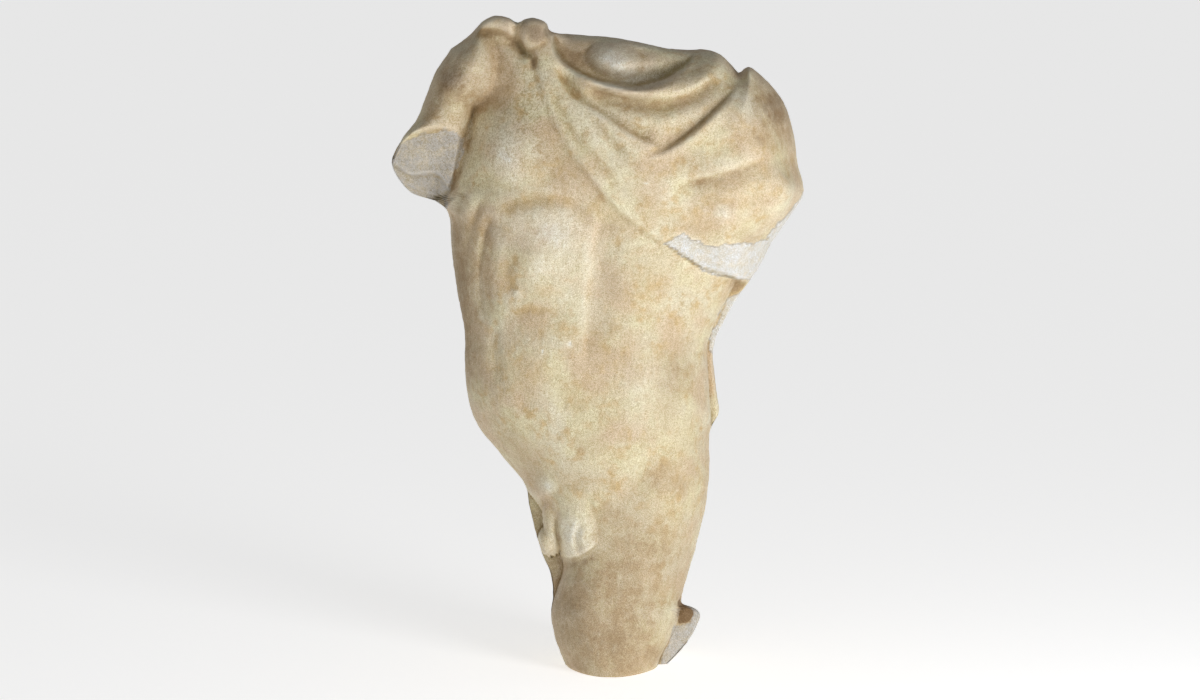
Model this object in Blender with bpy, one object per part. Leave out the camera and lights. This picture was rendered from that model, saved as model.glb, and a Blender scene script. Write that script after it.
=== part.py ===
# Headless marble torso with a cloak, broken at neck, arms and thighs, standing on its broken
# underside. The front faces -Y. The carving is laid out on a picture plane that leans back by
# VIEW_TILT. Places on that plane are (across, up) in percent of the figure's height, and the
# surface is a depth towards the front and a depth towards the back over that plane.
import bpy
import numpy as np

FIGURE_HEIGHT = 0.300  # m, from the broken underside to the top of the cloak
VIEW_TILT = 10.0  # degrees, how far the picture plane leans back
CHEST_DEPTH = 0.0438  # m, breastbone in front of the mid plane
BELLY_DEPTH = 0.0402  # m, belly in front of the mid plane
THIGH_DEPTH = 0.0306  # m, front of the thigh in front of the mid plane
BACK_DEPTH = 0.0366  # m, shoulder blades behind the mid plane
SEAT_DEPTH = 0.0384  # m, seat behind the mid plane
CALF_DEPTH = 0.0282  # m, cloak behind the thigh at the foot of the fragment
ARM_RADIUS = 0.0201  # m, upper arm stub
CLOAK_THICKNESS = 0.0021  # m, cloak over the chest
BACK_CLOAK_THICKNESS = 0.0057  # m, cloak down the back
CLASP_RADIUS = 0.0074  # m, round clasp on the shoulder
FOLD_DEPTH = 0.0030  # m, a main fold of the cloak
MUSCLE_RELIEF = 0.0024  # m, a main swelling of the trunk
EDGE_RADIUS = 0.0138  # m, rounding where front and back meet
EDGE_THICKNESS = 0.0012  # m, least thickness along the broken top

ROWS, FRONT_COLUMNS, BACK_COLUMNS = 230, 160, 70  # points of the surface before it is made lighter
MOST_TRIANGLES = 9600

PERCENT = FIGURE_HEIGHT / 100
SIN_TILT, COS_TILT = np.sin(np.radians(VIEW_TILT)), np.cos(np.radians(VIEW_TILT))

# Outlines and lines of the carving, as places on the picture plane.
LEFT_EDGE = [(-6.0, -3.6), (-7.2, -0.2), (-8.5, 2.8), (-9.3, 5.9), (-9.5, 8.3), (-9.2, 10.8),
             (-9.6, 14.1), (-11.0, 17.5), (-11.9, 20.5), (-12.8, 24.2), (-13.6, 27.9), (-16.8, 31.8),
             (-20.2, 36.1), (-22.0, 40.1), (-22.7, 46.5), (-22.7, 50.6), (-23.8, 57.5), (-24.7, 64.3),
             (-25.0, 68.8), (-26.7, 70.8), (-30.8, 72.3), (-33.0, 74.9), (-33.7, 77.3), (-32.1, 80.5),
             (-29.9, 83.4), (-28.5, 86.8), (-27.0, 90.5), (-24.6, 94.1)]
RIGHT_EDGE = [(5.3, -3.6), (7.3, -1.0), (9.6, 1.3), (11.9, 4.0), (13.1, 6.6), (13.3, 7.7), (12.5, 8.5),
              (10.8, 9.1), (10.5, 10.3), (11.6, 14.4), (12.8, 18.5), (13.9, 23.1), (14.7, 28.5),
              (14.8, 35.5), (16.2, 38.9), (15.7, 43.0), (15.3, 48.3), (16.6, 51.7), (19.1, 56.3),
              (22.0, 60.2), (24.0, 64.3), (26.4, 67.9), (28.5, 70.9), (29.0, 73.1), (28.1, 76.7),
              (27.6, 80.4), (26.1, 85.6), (23.7, 88.9)]
TOP_EDGE = [(-24.6, 94.1), (-22.7, 95.3), (-21.5, 96.3), (-19.8, 98.1), (-17.9, 99.0), (-16.0, 98.7),
            (-14.5, 97.9), (-13.3, 98.4), (-11.8, 98.5), (-10.2, 97.9), (-9.2, 96.6), (-4.4, 96.3),
            (1.7, 95.6), (7.8, 94.4), (11.5, 94.0), (13.9, 94.1), (16.3, 93.2), (18.2, 91.4),
            (19.1, 90.5), (20.0, 91.2), (21.2, 91.2), (23.7, 88.9)]
TRUNK_LEFT = [(-6.3, -3.6), (-7.9, -0.2), (-9.2, 3.3), (-9.6, 6.3), (-9.3, 9.2), (-8.4, 12.3),
              (-7.6, 15.3), (-8.7, 18.5), (-10.2, 22.4), (-11.8, 25.1), (-13.9, 27.6), (-17.4, 31.8),
              (-20.8, 36.1), (-22.7, 40.4), (-23.5, 46.5), (-23.5, 50.6), (-24.6, 57.5), (-25.3, 64.3),
              (-25.5, 70.5), (-24.6, 73.5), (-23.1, 78.9), (-22.4, 85.0), (-23.1, 95.6), (-23.1, 101.8)]
SEAT_LEFT = [(-6.3, -3.6), (-8.1, -0.2), (-9.8, 2.8), (-10.5, 5.9), (-10.7, 8.3), (-10.4, 10.8),
             (-10.8, 14.1), (-12.2, 17.5), (-13.3, 20.5), (-14.2, 24.2), (-15.4, 28.2), (-17.4, 31.8),
             (-20.8, 36.1), (-22.7, 40.4), (-23.5, 46.5), (-23.5, 50.6), (-24.6, 57.5), (-25.3, 64.3),
             (-25.5, 70.5), (-24.6, 73.5), (-23.1, 78.9), (-22.4, 85.0), (-23.1, 95.6), (-23.1, 101.8)]
TRUNK_RIGHT = [(6.0, -3.6), (6.7, -0.8), (7.9, 2.5), (9.6, 5.9), (10.5, 9.4), (12.1, 14.4),
               (13.3, 18.5), (14.4, 23.1), (15.0, 28.5), (15.1, 35.5), (14.8, 40.7), (14.4, 48.3),
               (15.0, 51.1), (16.5, 54.4), (18.5, 58.4), (21.1, 62.8), (24.3, 70.0), (27.0, 78.9),
               (28.1, 86.5), (28.5, 95.6), (28.5, 101.8)]
CLOAK_BACK_RIGHT = [(4.1, -5.1), (7.8, -0.8), (10.2, 1.6), (12.5, 4.3), (13.7, 7.7), (11.8, 10.2),
                    (12.4, 14.4), (13.6, 18.5), (14.8, 23.1), (15.4, 28.5), (15.6, 35.5), (16.8, 38.9),
                    (16.3, 43.0), (16.0, 48.3), (17.4, 51.7), (19.7, 56.3), (22.4, 60.2), (24.6, 64.3),
                    (27.8, 68.9), (29.8, 74.3), (28.5, 83.4), (25.5, 92.6), (24.0, 101.8)]
CLOAK_HEM = [(-12.2, 94.7), (-11.6, 90.3), (-9.8, 84.7), (-7.2, 79.3), (-3.7, 74.6), (0.2, 69.8),
             (4.4, 66.5), (8.1, 64.0), (10.8, 62.5), (13.0, 61.0), (16.2, 59.8), (20.3, 58.9),
             (23.1, 59.6)]
HEM_TEAR = [(7.8, 65.0), (9.6, 65.7), (12.1, 65.1), (15.1, 64.0), (18.2, 64.5), (21.7, 64.2),
            (24.7, 65.9), (27.0, 69.2), (29.5, 72.7)]
COLLAR_RIM = [(-9.3, 96.3), (-8.7, 93.4), (-6.4, 90.9), (-3.1, 89.2), (0.8, 88.3), (3.8, 88.0),
              (7.2, 88.9), (9.9, 90.5), (12.1, 92.3), (13.3, 94.7)]


# Smooth curve through the points (Catmull-Rom), as rows of (across, up).
def curve(points, steps=8):
    p = np.array(points, float)
    ends = np.vstack([2 * p[0] - p[1], p, 2 * p[-1] - p[-2]])
    a, b, c, d = ends[:-3], ends[1:-2], ends[2:-1], ends[3:]
    t = np.linspace(0, 1, steps, endpoint=False)[:, None, None]
    mid = 2 * b + (c - a) * t + (2 * a - 5 * b + 4 * c - d) * t**2 + (3 * b - a - 3 * c + d) * t**3
    return np.vstack([mid.transpose(1, 0, 2).reshape(-1, 2) / 2, p[-1]])


# Where a side curve lies across, at each height.
def across_at(points, up):
    line = curve(points, 12)
    line = line[np.argsort(line[:, 1], kind="stable")]
    return np.interp(up, line[:, 1], line[:, 0])


# How high a top curve lies, at each place across.
def up_at(points, across):
    line = curve(points, 12)
    line = line[np.argsort(line[:, 0], kind="stable")]
    return np.interp(across, line[:, 0], line[:, 1])


# 0 to 1 with level ends.
def smooth(t):
    t = np.clip(t, 0, 1)
    return t * t * (3 - 2 * t)


# Distance to a curve, positive on the right hand of its travel, and the share along it. Beyond
# reach the distance is only known to be far.
def measure(x, w, points, reach=1e3):
    line = curve(points, 6)
    run = np.diff(line, axis=0)
    size = np.hypot(run[:, 0], run[:, 1]) + 1e-9
    begin = np.concatenate([[0], np.cumsum(size)])
    low, high = line.min(axis=0) - reach, line.max(axis=0) + reach
    close = (x > low[0]) & (x < high[0]) & (w > low[1]) & (w < high[1])
    px, pw = x[close], w[close]
    least, signed, part = np.full(px.shape, 1e9), np.full(px.shape, float(reach)), np.zeros(px.shape)
    for i, step in enumerate(run):
        dx, dw = px - line[i, 0], pw - line[i, 1]
        t = np.clip((dx * step[0] + dw * step[1]) / size[i]**2, 0, 1)
        far = np.hypot(dx - t * step[0], dw - t * step[1])
        nearer = far < least
        hand = np.where(step[0] * dw - step[1] * dx > 0, -far, far)
        least = np.where(nearer, far, least)
        signed = np.where(nearer, hand, signed)
        part = np.where(nearer, (begin[i] + t * size[i]) / begin[-1], part)
    distance, share = np.full(x.shape, float(reach)), np.zeros(x.shape)
    distance[close], share[close] = signed, part
    return distance, share


# A groove along a curve: a bell across it, with its own width on the left and right hand, fading
# out over the given shares of its length. A negative depth raises a ridge.
def groove(x, w, points, depth, left, right=None, fade=(0.25, 0.25)):
    right = left if right is None else right
    signed, share = measure(x, w, points, 3 * max(left, right))
    width = np.where(signed > 0, right, left)
    start = smooth(share / fade[0]) if fade[0] else 1.0
    end = smooth((1 - share) / fade[1]) if fade[1] else 1.0
    return -depth * np.exp(-(signed / width)**2) * start * end


# A swelling over an ellipse: 1 in the middle, falling to 0 at its rim.
def swelling(x, w, centre, radii, turn=0.0, power=2.0):
    c, s = np.cos(np.radians(turn)), np.sin(np.radians(turn))
    dx, dw = x - centre[0], w - centre[1]
    a, b = (dx * c + dw * s) / radii[0], (dw * c - dx * s) / radii[1]
    return np.clip(1 - a * a - b * b, 0, None)**power


# 1 inside a closed outline and 0 outside it, over a band as wide as soft.
def inside(x, w, outline, soft):
    loop = outline + [outline[0]]
    line = curve(loop, 6)
    within = np.zeros(x.shape, bool)
    for (x0, w0), (x1, w1) in zip(line[:-1], line[1:]):
        if w0 != w1:
            within ^= ((w0 > w) != (w1 > w)) & (x < x0 + (x1 - x0) * (w - w0) / (w1 - w0))
    far = np.abs(measure(x, w, loop, 4 * soft)[0])
    return smooth(0.5 + np.where(within, far, -far) / soft / 2)


# The larger of two depths, rounded over the band k where they cross.
def union(a, b, k):
    h = np.clip(0.5 + 0.5 * (a - b) / k, 0, 1)
    return b + (a - b) * h + k * h * (1 - h)


# The smaller of two depths, rounded in the same way.
def cut(a, b, k):
    return -union(-a, -b, k)


# A rounded section between two side curves, as deep at each height as the (depth, height) points
# of profile say. Beyond the side curves it lies behind everything else.
def section(x, w, sides, profile, power=2.3):
    left, right = across_at(sides[0], w), across_at(sides[1], w)
    t = np.clip(np.abs((x - (left + right) / 2) / ((right - left) / 2)), 0, 1)
    return across_at(profile, w) * (1 - t**power)**(1 / power) - np.where(t >= 1, 3.0, 0.0)


# Trunk: the section of a body that narrows to the waist, with chest, rib and belly swellings and
# the carved lines between them.
def trunk_front(x, w):
    chest, belly, thigh = CHEST_DEPTH / PERCENT, BELLY_DEPTH / PERCENT, THIGH_DEPTH / PERCENT
    muscle = MUSCLE_RELIEF / PERCENT
    profile = [(0.9 * thigh, -12), (0.96 * thigh, 0), (1.06 * thigh, 12), (0.88 * belly, 24),
               (belly, 36), (0.97 * belly, 48), (0.9 * chest, 60), (chest, 75), (0.9 * chest, 85),
               (0.68 * chest, 93), (0.4 * chest, 101)]
    f = section(x, w, (TRUNK_LEFT, TRUNK_RIGHT), profile, 2.3 - 0.45 * smooth((w - 62) / 14))
    # centre, radii, turn, share of muscle
    swellings = (
        # chest muscle
        ((-15.1, 78.9), (8.6, 8.2), 0, 2.4),
        # upper and lower block of the belly
        ((-11.8, 61.1), (5.2, 6.2), -8, 0.9),
        ((-10.2, 61.8), (8.5, 10.5), 0, 0.6),
        ((-10.2, 47.4), (8.2, 7.6), 0, 0.9),
        # its far side, and the hip
        ((4.1, 58.2), (6.5, 9.0), 10, 0.7),
        ((5.6, 42.2), (7.5, 8.5), 15, 0.7),
        ((11.8, 36.9), (4.0, 7.0), 0, 0.5),
        # below the navel, near flank, inner thigh, near hip
        ((-2.6, 34.6), (8.0, 7.0), 0, 0.6),
        ((-20.3, 48.3), (3.4, 7.0), 0, 0.4),
        ((-2.6, 7.4), (5.5, 9.0), 0, 0.5),
        ((-17.3, 41.4), (4.5, 5.5), 30, 0.4),
    )
    for centre, radii, turn, share in swellings:
        f = f + share * muscle * swelling(x, w, centre, radii, turn)
    # line, share of muscle, width on its left and right hand, fade at its ends
    lines = (
        # crease between shoulder and chest, lower edge of the chest muscle
        ([(-14.5, 91.1), (-16.8, 88.0), (-20.0, 86.3), (-22.1, 84.8), (-22.7, 82.4), (-22.4, 79.0),
          (-21.7, 77.0), (-20.3, 74.7)], 1.2, 2.8, 1.2, (0.45, 0.3)),
        ([(-21.2, 76.1), (-19.1, 74.0), (-16.0, 72.7), (-11.8, 72.1)], 0.6, 1.2, 2.0, (0.3, 0.5)),
        # grooves down the flank
        ([(-22.3, 73.1), (-23.7, 69.1), (-24.0, 65.6)], 0.7, 0.4, 1.1, (0.2, 0.3)),
        ([(-19.7, 72.4), (-20.9, 68.6), (-22.1, 64.2), (-22.9, 60.5), (-22.9, 57.5)], 0.9, 0.45, 1.4,
         (0.2, 0.35)),
        ([(-17.9, 69.1), (-19.4, 65.3), (-20.0, 61.3), (-20.2, 58.1), (-19.8, 55.2), (-18.8, 51.4)],
         1.2, 0.45, 2.0, (0.2, 0.3)),
        ([(-17.4, 52.9), (-18.0, 50.6), (-18.2, 48.3), (-17.6, 45.3), (-17.3, 41.3)], 0.7, 0.9, 1.3,
         (0.3, 0.5)),
        # arch of the ribs, creases between the blocks
        ([(-17.9, 67.9), (-16.3, 69.7), (-14.2, 70.6), (-11.1, 71.1), (-8.1, 70.9), (-5.0, 69.4),
          (-2.4, 66.9)], 0.5, 1.0, 1.3, (0.2, 0.2)),
        ([(-14.4, 63.6), (-15.6, 61.1), (-15.9, 58.7), (-15.0, 56.3)], 0.5, 0.8, 1.1, (0.35, 0.25)),
        ([(-16.3, 53.7), (-12.4, 54.4), (-8.7, 54.1), (-4.4, 53.2)], 0.35, 0.8, 1.0, (0.25, 0.35)),
        # line down the middle: a bank on its left, a long soft slope on its right
        ([(-1.4, 70.0), (-2.0, 65.7), (-2.4, 61.8), (-2.9, 57.2), (-3.4, 52.6), (-3.8, 45.3)], 0.8, 3.2,
         1.0, (0.2, 0.2)),
        # far side of the belly, waist, groin, thigh
        ([(-1.1, 52.6), (4.1, 53.5), (9.0, 52.9)], 0.22, 1.2, 1.2, (0.3, 0.4)),
        ([(10.8, 60.8), (9.3, 55.2), (7.8, 49.5), (7.2, 43.7), (7.5, 37.6)], 0.35, 1.6, 1.8,
         (0.3, 0.3)),
        ([(10.8, 47.7), (13.0, 48.0), (15.4, 47.1)], 0.3, 0.5, 0.9, (0.5, 0.0)),
        ([(16.3, 35.8), (12.4, 34.1), (7.5, 30.9), (3.5, 27.6), (-0.2, 24.5)], 0.65, 1.6, 2.6,
         (0.15, 0.3)),
        ([(0.9, 17.5), (0.0, 10.2), (-0.8, -0.8)], 0.2, 1.6, 2.0, (0.3, 0)),
        ([(4.1, 22.4), (6.0, 16.3), (6.3, 8.6)], 0.15, 1.8, 1.8, (0.4, 0.4)),
    )
    for points, share, left, right, fade in lines:
        f = f + groove(x, w, points, share * muscle, left, right, fade)
    return f + 0.3 * muscle * swelling(x, w, (-14.4, 56.9), (1.1, 1.3))


# Arm stub: a thick rod that tapers from the shoulder, cut by a sloping break that leaves two
# ledges.
def arm_stub(x, w):
    top, end = np.array((-21.1, 89.8)), np.array((-28.9, 75.5))
    along = end - top
    t = np.clip(((x - top[0]) * along[0] + (w - top[1]) * along[1]) / (along @ along), 0, 1)
    far = np.hypot(x - top[0] - t * along[0], w - top[1] - t * along[1])
    radius = ARM_RADIUS / PERCENT * (1.0 - 0.24 * t)
    rod = 0.4 + 1.2 * np.sqrt(np.clip(radius**2 - far**2, 0, None)) - np.where(far > radius, 4, 0)
    rod = rod + 0.7 * swelling(x, w, (-21.2, 88.6), (4.5, 7.0), turn=-30)
    crest, slope = np.array((-28.9, 80.7)), np.radians(-68)
    below = (x - crest[0]) * np.cos(slope) + (w - crest[1]) * np.sin(slope)
    face = 6.6 - np.where(below > 0, 0.62, 3.0) * below
    face = face + 0.5 * swelling(x, w, (-29.5, 77.6), (3.5, 2.4), turn=10)
    # upper edge of each ledge, and how far the face drops below it
    ledges = (
        ([(-34.4, 77.6), (-32.7, 76.4), (-31.0, 75.2), (-29.2, 75.2), (-27.0, 75.3), (-25.6, 74.3),
          (-24.9, 72.7), (-25.2, 70.3)], 1.1),
        ([(-31.8, 73.8), (-30.7, 73.4), (-28.5, 72.4), (-26.9, 72.0), (-25.8, 70.6)], 0.6),
    )
    for ledge, drop in ledges:
        below, _ = measure(x, w, ledge, 9)
        face = face - drop * smooth(below / 0.45) + groove(x, w, ledge, -0.3, 0.5, 0.3, (0.1, 0))
    return cut(rod, face, 0.35)


# Genitals: two lobes that hang from a soft mass under the belly, with a crease between them. Each
# is half an ellipsoid on its own base.
def genitals(x, w, f):
    thigh = THIGH_DEPTH / PERCENT

    def lobe(base, height, centre, radii, turn=0.0, power=0.5):
        dome = swelling(x, w, centre, radii, turn, power)
        return np.where(dome > 0, base * thigh + height * dome, -9.0)

    near = union(lobe(0.16, 3.4, (-9.5, 19.3), (1.8, 2.5)),
                 lobe(0.22, 4.0, (-9.2, 22.7), (1.6, 4.2), 8), 1.2)
    far = union(lobe(0.88, 1.2, (-5.0, 19.6), (2.9, 3.3), 0, 0.3),
                lobe(0.86, 1.3, (-5.3, 23.9), (4.8, 6.4), 0, 0.8), 1.8)
    f = union(f, union(near, far, 0.6), 0.8)
    f = f + groove(x, w, [(-8.7, 24.2), (-8.4, 22.2), (-8.2, 20.8), (-7.8, 19.3), (-7.9, 16.9)], 0.6,
                   0.7, 0.35, (0.3, 0))
    f = f + groove(x, w, [(-3.5, 23.6), (-4.1, 20.8), (-5.2, 17.8)], 0.25, 0.6, 0.5)
    return f + groove(x, w, [(-11.0, 17.0), (-8.7, 16.4), (-6.9, 15.6), (-4.7, 16.3), (-2.0, 16.7)],
                      0.4, 0.4, 0.7, (0.1, 0.3))


# Cloak over chest and shoulder: a layer that ends in a low step along its hem, with long folds
# that fan out from the clasp and from the far shoulder and meet in a V on the chest.
def cloak_front(x, w, f):
    fold, thickness = FOLD_DEPTH / PERCENT, CLOAK_THICKNESS / PERCENT
    shoulder = swelling(x, w, (16.6, 74.9), (15.0, 21.0), turn=20, power=0.5)
    covered = 1.1 * CHEST_DEPTH / PERCENT * shoulder - 2.4
    beyond = [(33.1, 66.6), (33.1, 86.5), (27.0, 95.6), (13.3, 100.2), (-8.1, 100.2), (-12.1, 98.7)]
    cloaked = inside(x, w, CLOAK_HEM + beyond, 0.45)
    f = union(f, covered - 8 * (1 - cloaked), 2.2)
    layer = thickness + 0.9 * fold * swelling(x, w, (11.8, 83.1), (9.0, 4.2), turn=40, power=1.6)
    layer = layer + 0.9 * fold * swelling(x, w, (21.2, 83.7), (5.5, 9.5), turn=20)
    layer = layer + 0.5 * fold * swelling(x, w, (7.8, 71.8), (9.0, 4.0), turn=-30)
    # line, share of fold, width on its left and right hand, fade at its ends
    folds = (
        # band along the hem, second and third band, left arm of the V
        ([(-9.8, 88.6), (-8.5, 85.3), (-6.3, 81.3), (-3.2, 77.6), (-0.8, 74.6), (2.6, 70.8)], 0.45, 0.8,
         1.1, (0.15, 0.3)),
        ([(-8.5, 92.3), (-7.2, 88.9), (-4.4, 85.3), (-1.4, 81.3), (1.4, 78.2), (4.7, 75.5)], 0.6, 0.8,
         1.0, (0.1, 0.3)),
        ([(-8.7, 91.4), (-6.3, 87.4), (-2.3, 84.7), (1.4, 82.2), (4.4, 80.5), (7.5, 79.0)], 1.5, 2.2,
         0.55, (0.15, 0.2)),
        # right arm of the V, the deepest fold: a steep bank below it, a long slope above it
        ([(4.1, 77.5), (6.9, 78.4), (9.8, 80.1), (12.4, 82.1), (15.0, 84.5), (17.4, 86.9),
          (19.7, 90.2)], 2.6, 3.2, 0.5, (0.22, 0.0)),
        # hollow under the collar rim, and the rim itself
        ([(-4.4, 88.6), (-0.8, 86.6), (2.9, 85.6), (6.9, 85.3), (10.5, 86.0), (13.9, 88.0),
          (16.9, 90.8)], 1.9, 0.9, 1.6, (0.15, 0.2)),
        ([(-6.6, 91.7), (-3.2, 88.9), (0.8, 87.4), (4.4, 87.2), (8.1, 88.0), (11.8, 90.2),
          (14.8, 92.4)], -0.9, 0.5, 0.7, (0.3, 0.15)),
        # folds that fan out below the shoulder
        ([(7.8, 72.6), (11.1, 73.2), (15.1, 74.1), (19.1, 75.2), (22.4, 76.6), (25.5, 77.9)], 1.0, 0.7,
         1.8, (0.3, 0.3)),
        ([(11.1, 72.0), (15.4, 70.8), (19.4, 70.3), (23.1, 70.8), (27.0, 72.0)], 0.45, 1.0, 1.4,
         (0.3, 0.3)),
        ([(5.6, 70.2), (9.0, 68.2), (12.4, 66.6), (16.3, 65.7), (19.7, 65.4)], 0.4, 1.0, 1.4,
         (0.3, 0.3)),
        ([(13.3, 78.2), (16.9, 78.9), (21.2, 80.4)], 0.25, 1.4, 1.4, (0.3, 0.3)),
        ([(19.7, 89.8), (20.6, 86.5), (22.4, 81.9), (24.0, 77.3)], -0.3, 1.6, 1.6, (0.2, 0.4)),
    )
    for points, share, left, right, fade in folds:
        layer = layer + groove(x, w, points, share * fold, left, right, fade)
    f = f + cloaked * layer + groove(x, w, CLOAK_HEM, 0.35, 0.35, 0.6, (0.1, 0.15))
    # the hem is torn away below HEM_TEAR: the break falls back, most of all at its lower edge
    below, _ = measure(x, w, HEM_TEAR)
    torn = inside(x, w, HEM_TEAR[:6] + [(23.1, 61.8), (21.2, 59.3), (19.5, 59.0), (16.2, 59.6),
                                        (13.0, 60.8), (10.8, 62.2), (8.1, 63.9)], 0.2)
    f = f - (0.35 + 0.16 * np.clip(below, 0, 6)) * torn * smooth(below / 0.3)
    outer = smooth(below / 0.5) * smooth((x - 21.8) / 1.2)
    return f - outer * (0.3 + 0.9 * np.clip(below, 0, 3))


# Broken neck: a hollow behind the collar rim with a worn lump in it and a slit at its far end.
def neck_hollow(x, w, f):
    hollow = inside(x, w, COLLAR_RIM + [(14.5, 98.7), (5.6, 100.2), (-8.7, 100.2)], 0.5)
    floor = 1.4 + 0.55 * (up_at(TOP_EDGE, x) - w)
    floor = floor + 2.8 * swelling(x, w, (0.2, 92.6), (4.2, 2.6), turn=-12, power=1.2)
    floor = floor + 1.2 * swelling(x, w, (4.1, 91.7), (6.0, 2.0), turn=6)
    floor = floor + groove(x, w, [(9.6, 90.2), (11.1, 91.4), (13.3, 93.4)], 1.5, 0.3, 0.3, (0.2, 0.1))
    return f * (1 - hollow) + np.minimum(f, floor) * hollow


# Bunched cloak on the near shoulder, and the round clasp that pins it.
def clasp_and_bunch(x, w, f):
    fold = FOLD_DEPTH / PERCENT
    f = f + 2.0 * fold * swelling(x, w, (-17.3, 97.5), (6.0, 3.0), turn=-4, power=1.2)
    f = f + groove(x, w, [(-22.7, 95.0), (-20.9, 96.1), (-18.8, 96.4), (-16.8, 96.0), (-15.4, 95.0),
                          (-14.2, 93.8), (-12.7, 92.0)], 1.1 * fold, 0.7, 1.0, (0.2, 0.15))
    rim = CLASP_RADIUS / PERCENT
    f = f + groove(x, w, [(-14.4, 98.4), (-14.7, 96.0), (-13.9, 93.8), (-12.1, 92.4), (-11.8, 90.2)],
                   0.8, 0.5, 0.6, (0.15, 0.2))
    disc = swelling(x, w, (-11.6, 96.0), (rim, rim * 1.04), power=0.5)
    return np.maximum(f, np.where(disc > 0, 7.0 + 1.9 * disc, f))


# Foot of the fragment on the right: a stub of the cloak that hangs behind the thigh, with a
# worn white face and an earthy pocket sunk into its upper end.
def cloak_stub(x, w, f):
    stub = -1.6 - 0.42 * (x - 10.0)
    pocket = inside(x, w, [(9.9, 9.8), (10.8, 8.8), (11.9, 8.2), (11.8, 6.8), (11.1, 6.2), (9.3, 6.2),
                           (9.0, 7.7)], 0.3)
    lip = groove(x, w, [(9.0, 5.9), (11.5, 5.9), (12.8, 7.1)], -0.35, 0.4, 0.6, (0, 0.3))
    stub = stub - 2.6 * pocket + lip
    area = inside(x, w, [(8.4, 10.5), (10.8, 9.5), (13.9, 9.2), (15.1, 6.8), (11.8, -0.5), (5.6, -3.6),
                         (4.1, 1.0)], 0.3)
    return np.maximum(f, np.where(area > 0.01, stub, f))


# The whole front, built up from the trunk.
def front_form(x, w):
    f = trunk_front(x, w)
    f = union(f, 5.0 * swelling(x, w, (-22.4, 81.9), (3.4, 9.0), turn=-12, power=0.8) - 1.0, 1.0)
    f = union(f, arm_stub(x, w), 2.0)
    f = genitals(x, w, f)
    f = cloak_front(x, w, f)
    f = neck_hollow(x, w, f)
    f = clasp_and_bunch(x, w, f)
    return cloak_stub(x, w, f)


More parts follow.
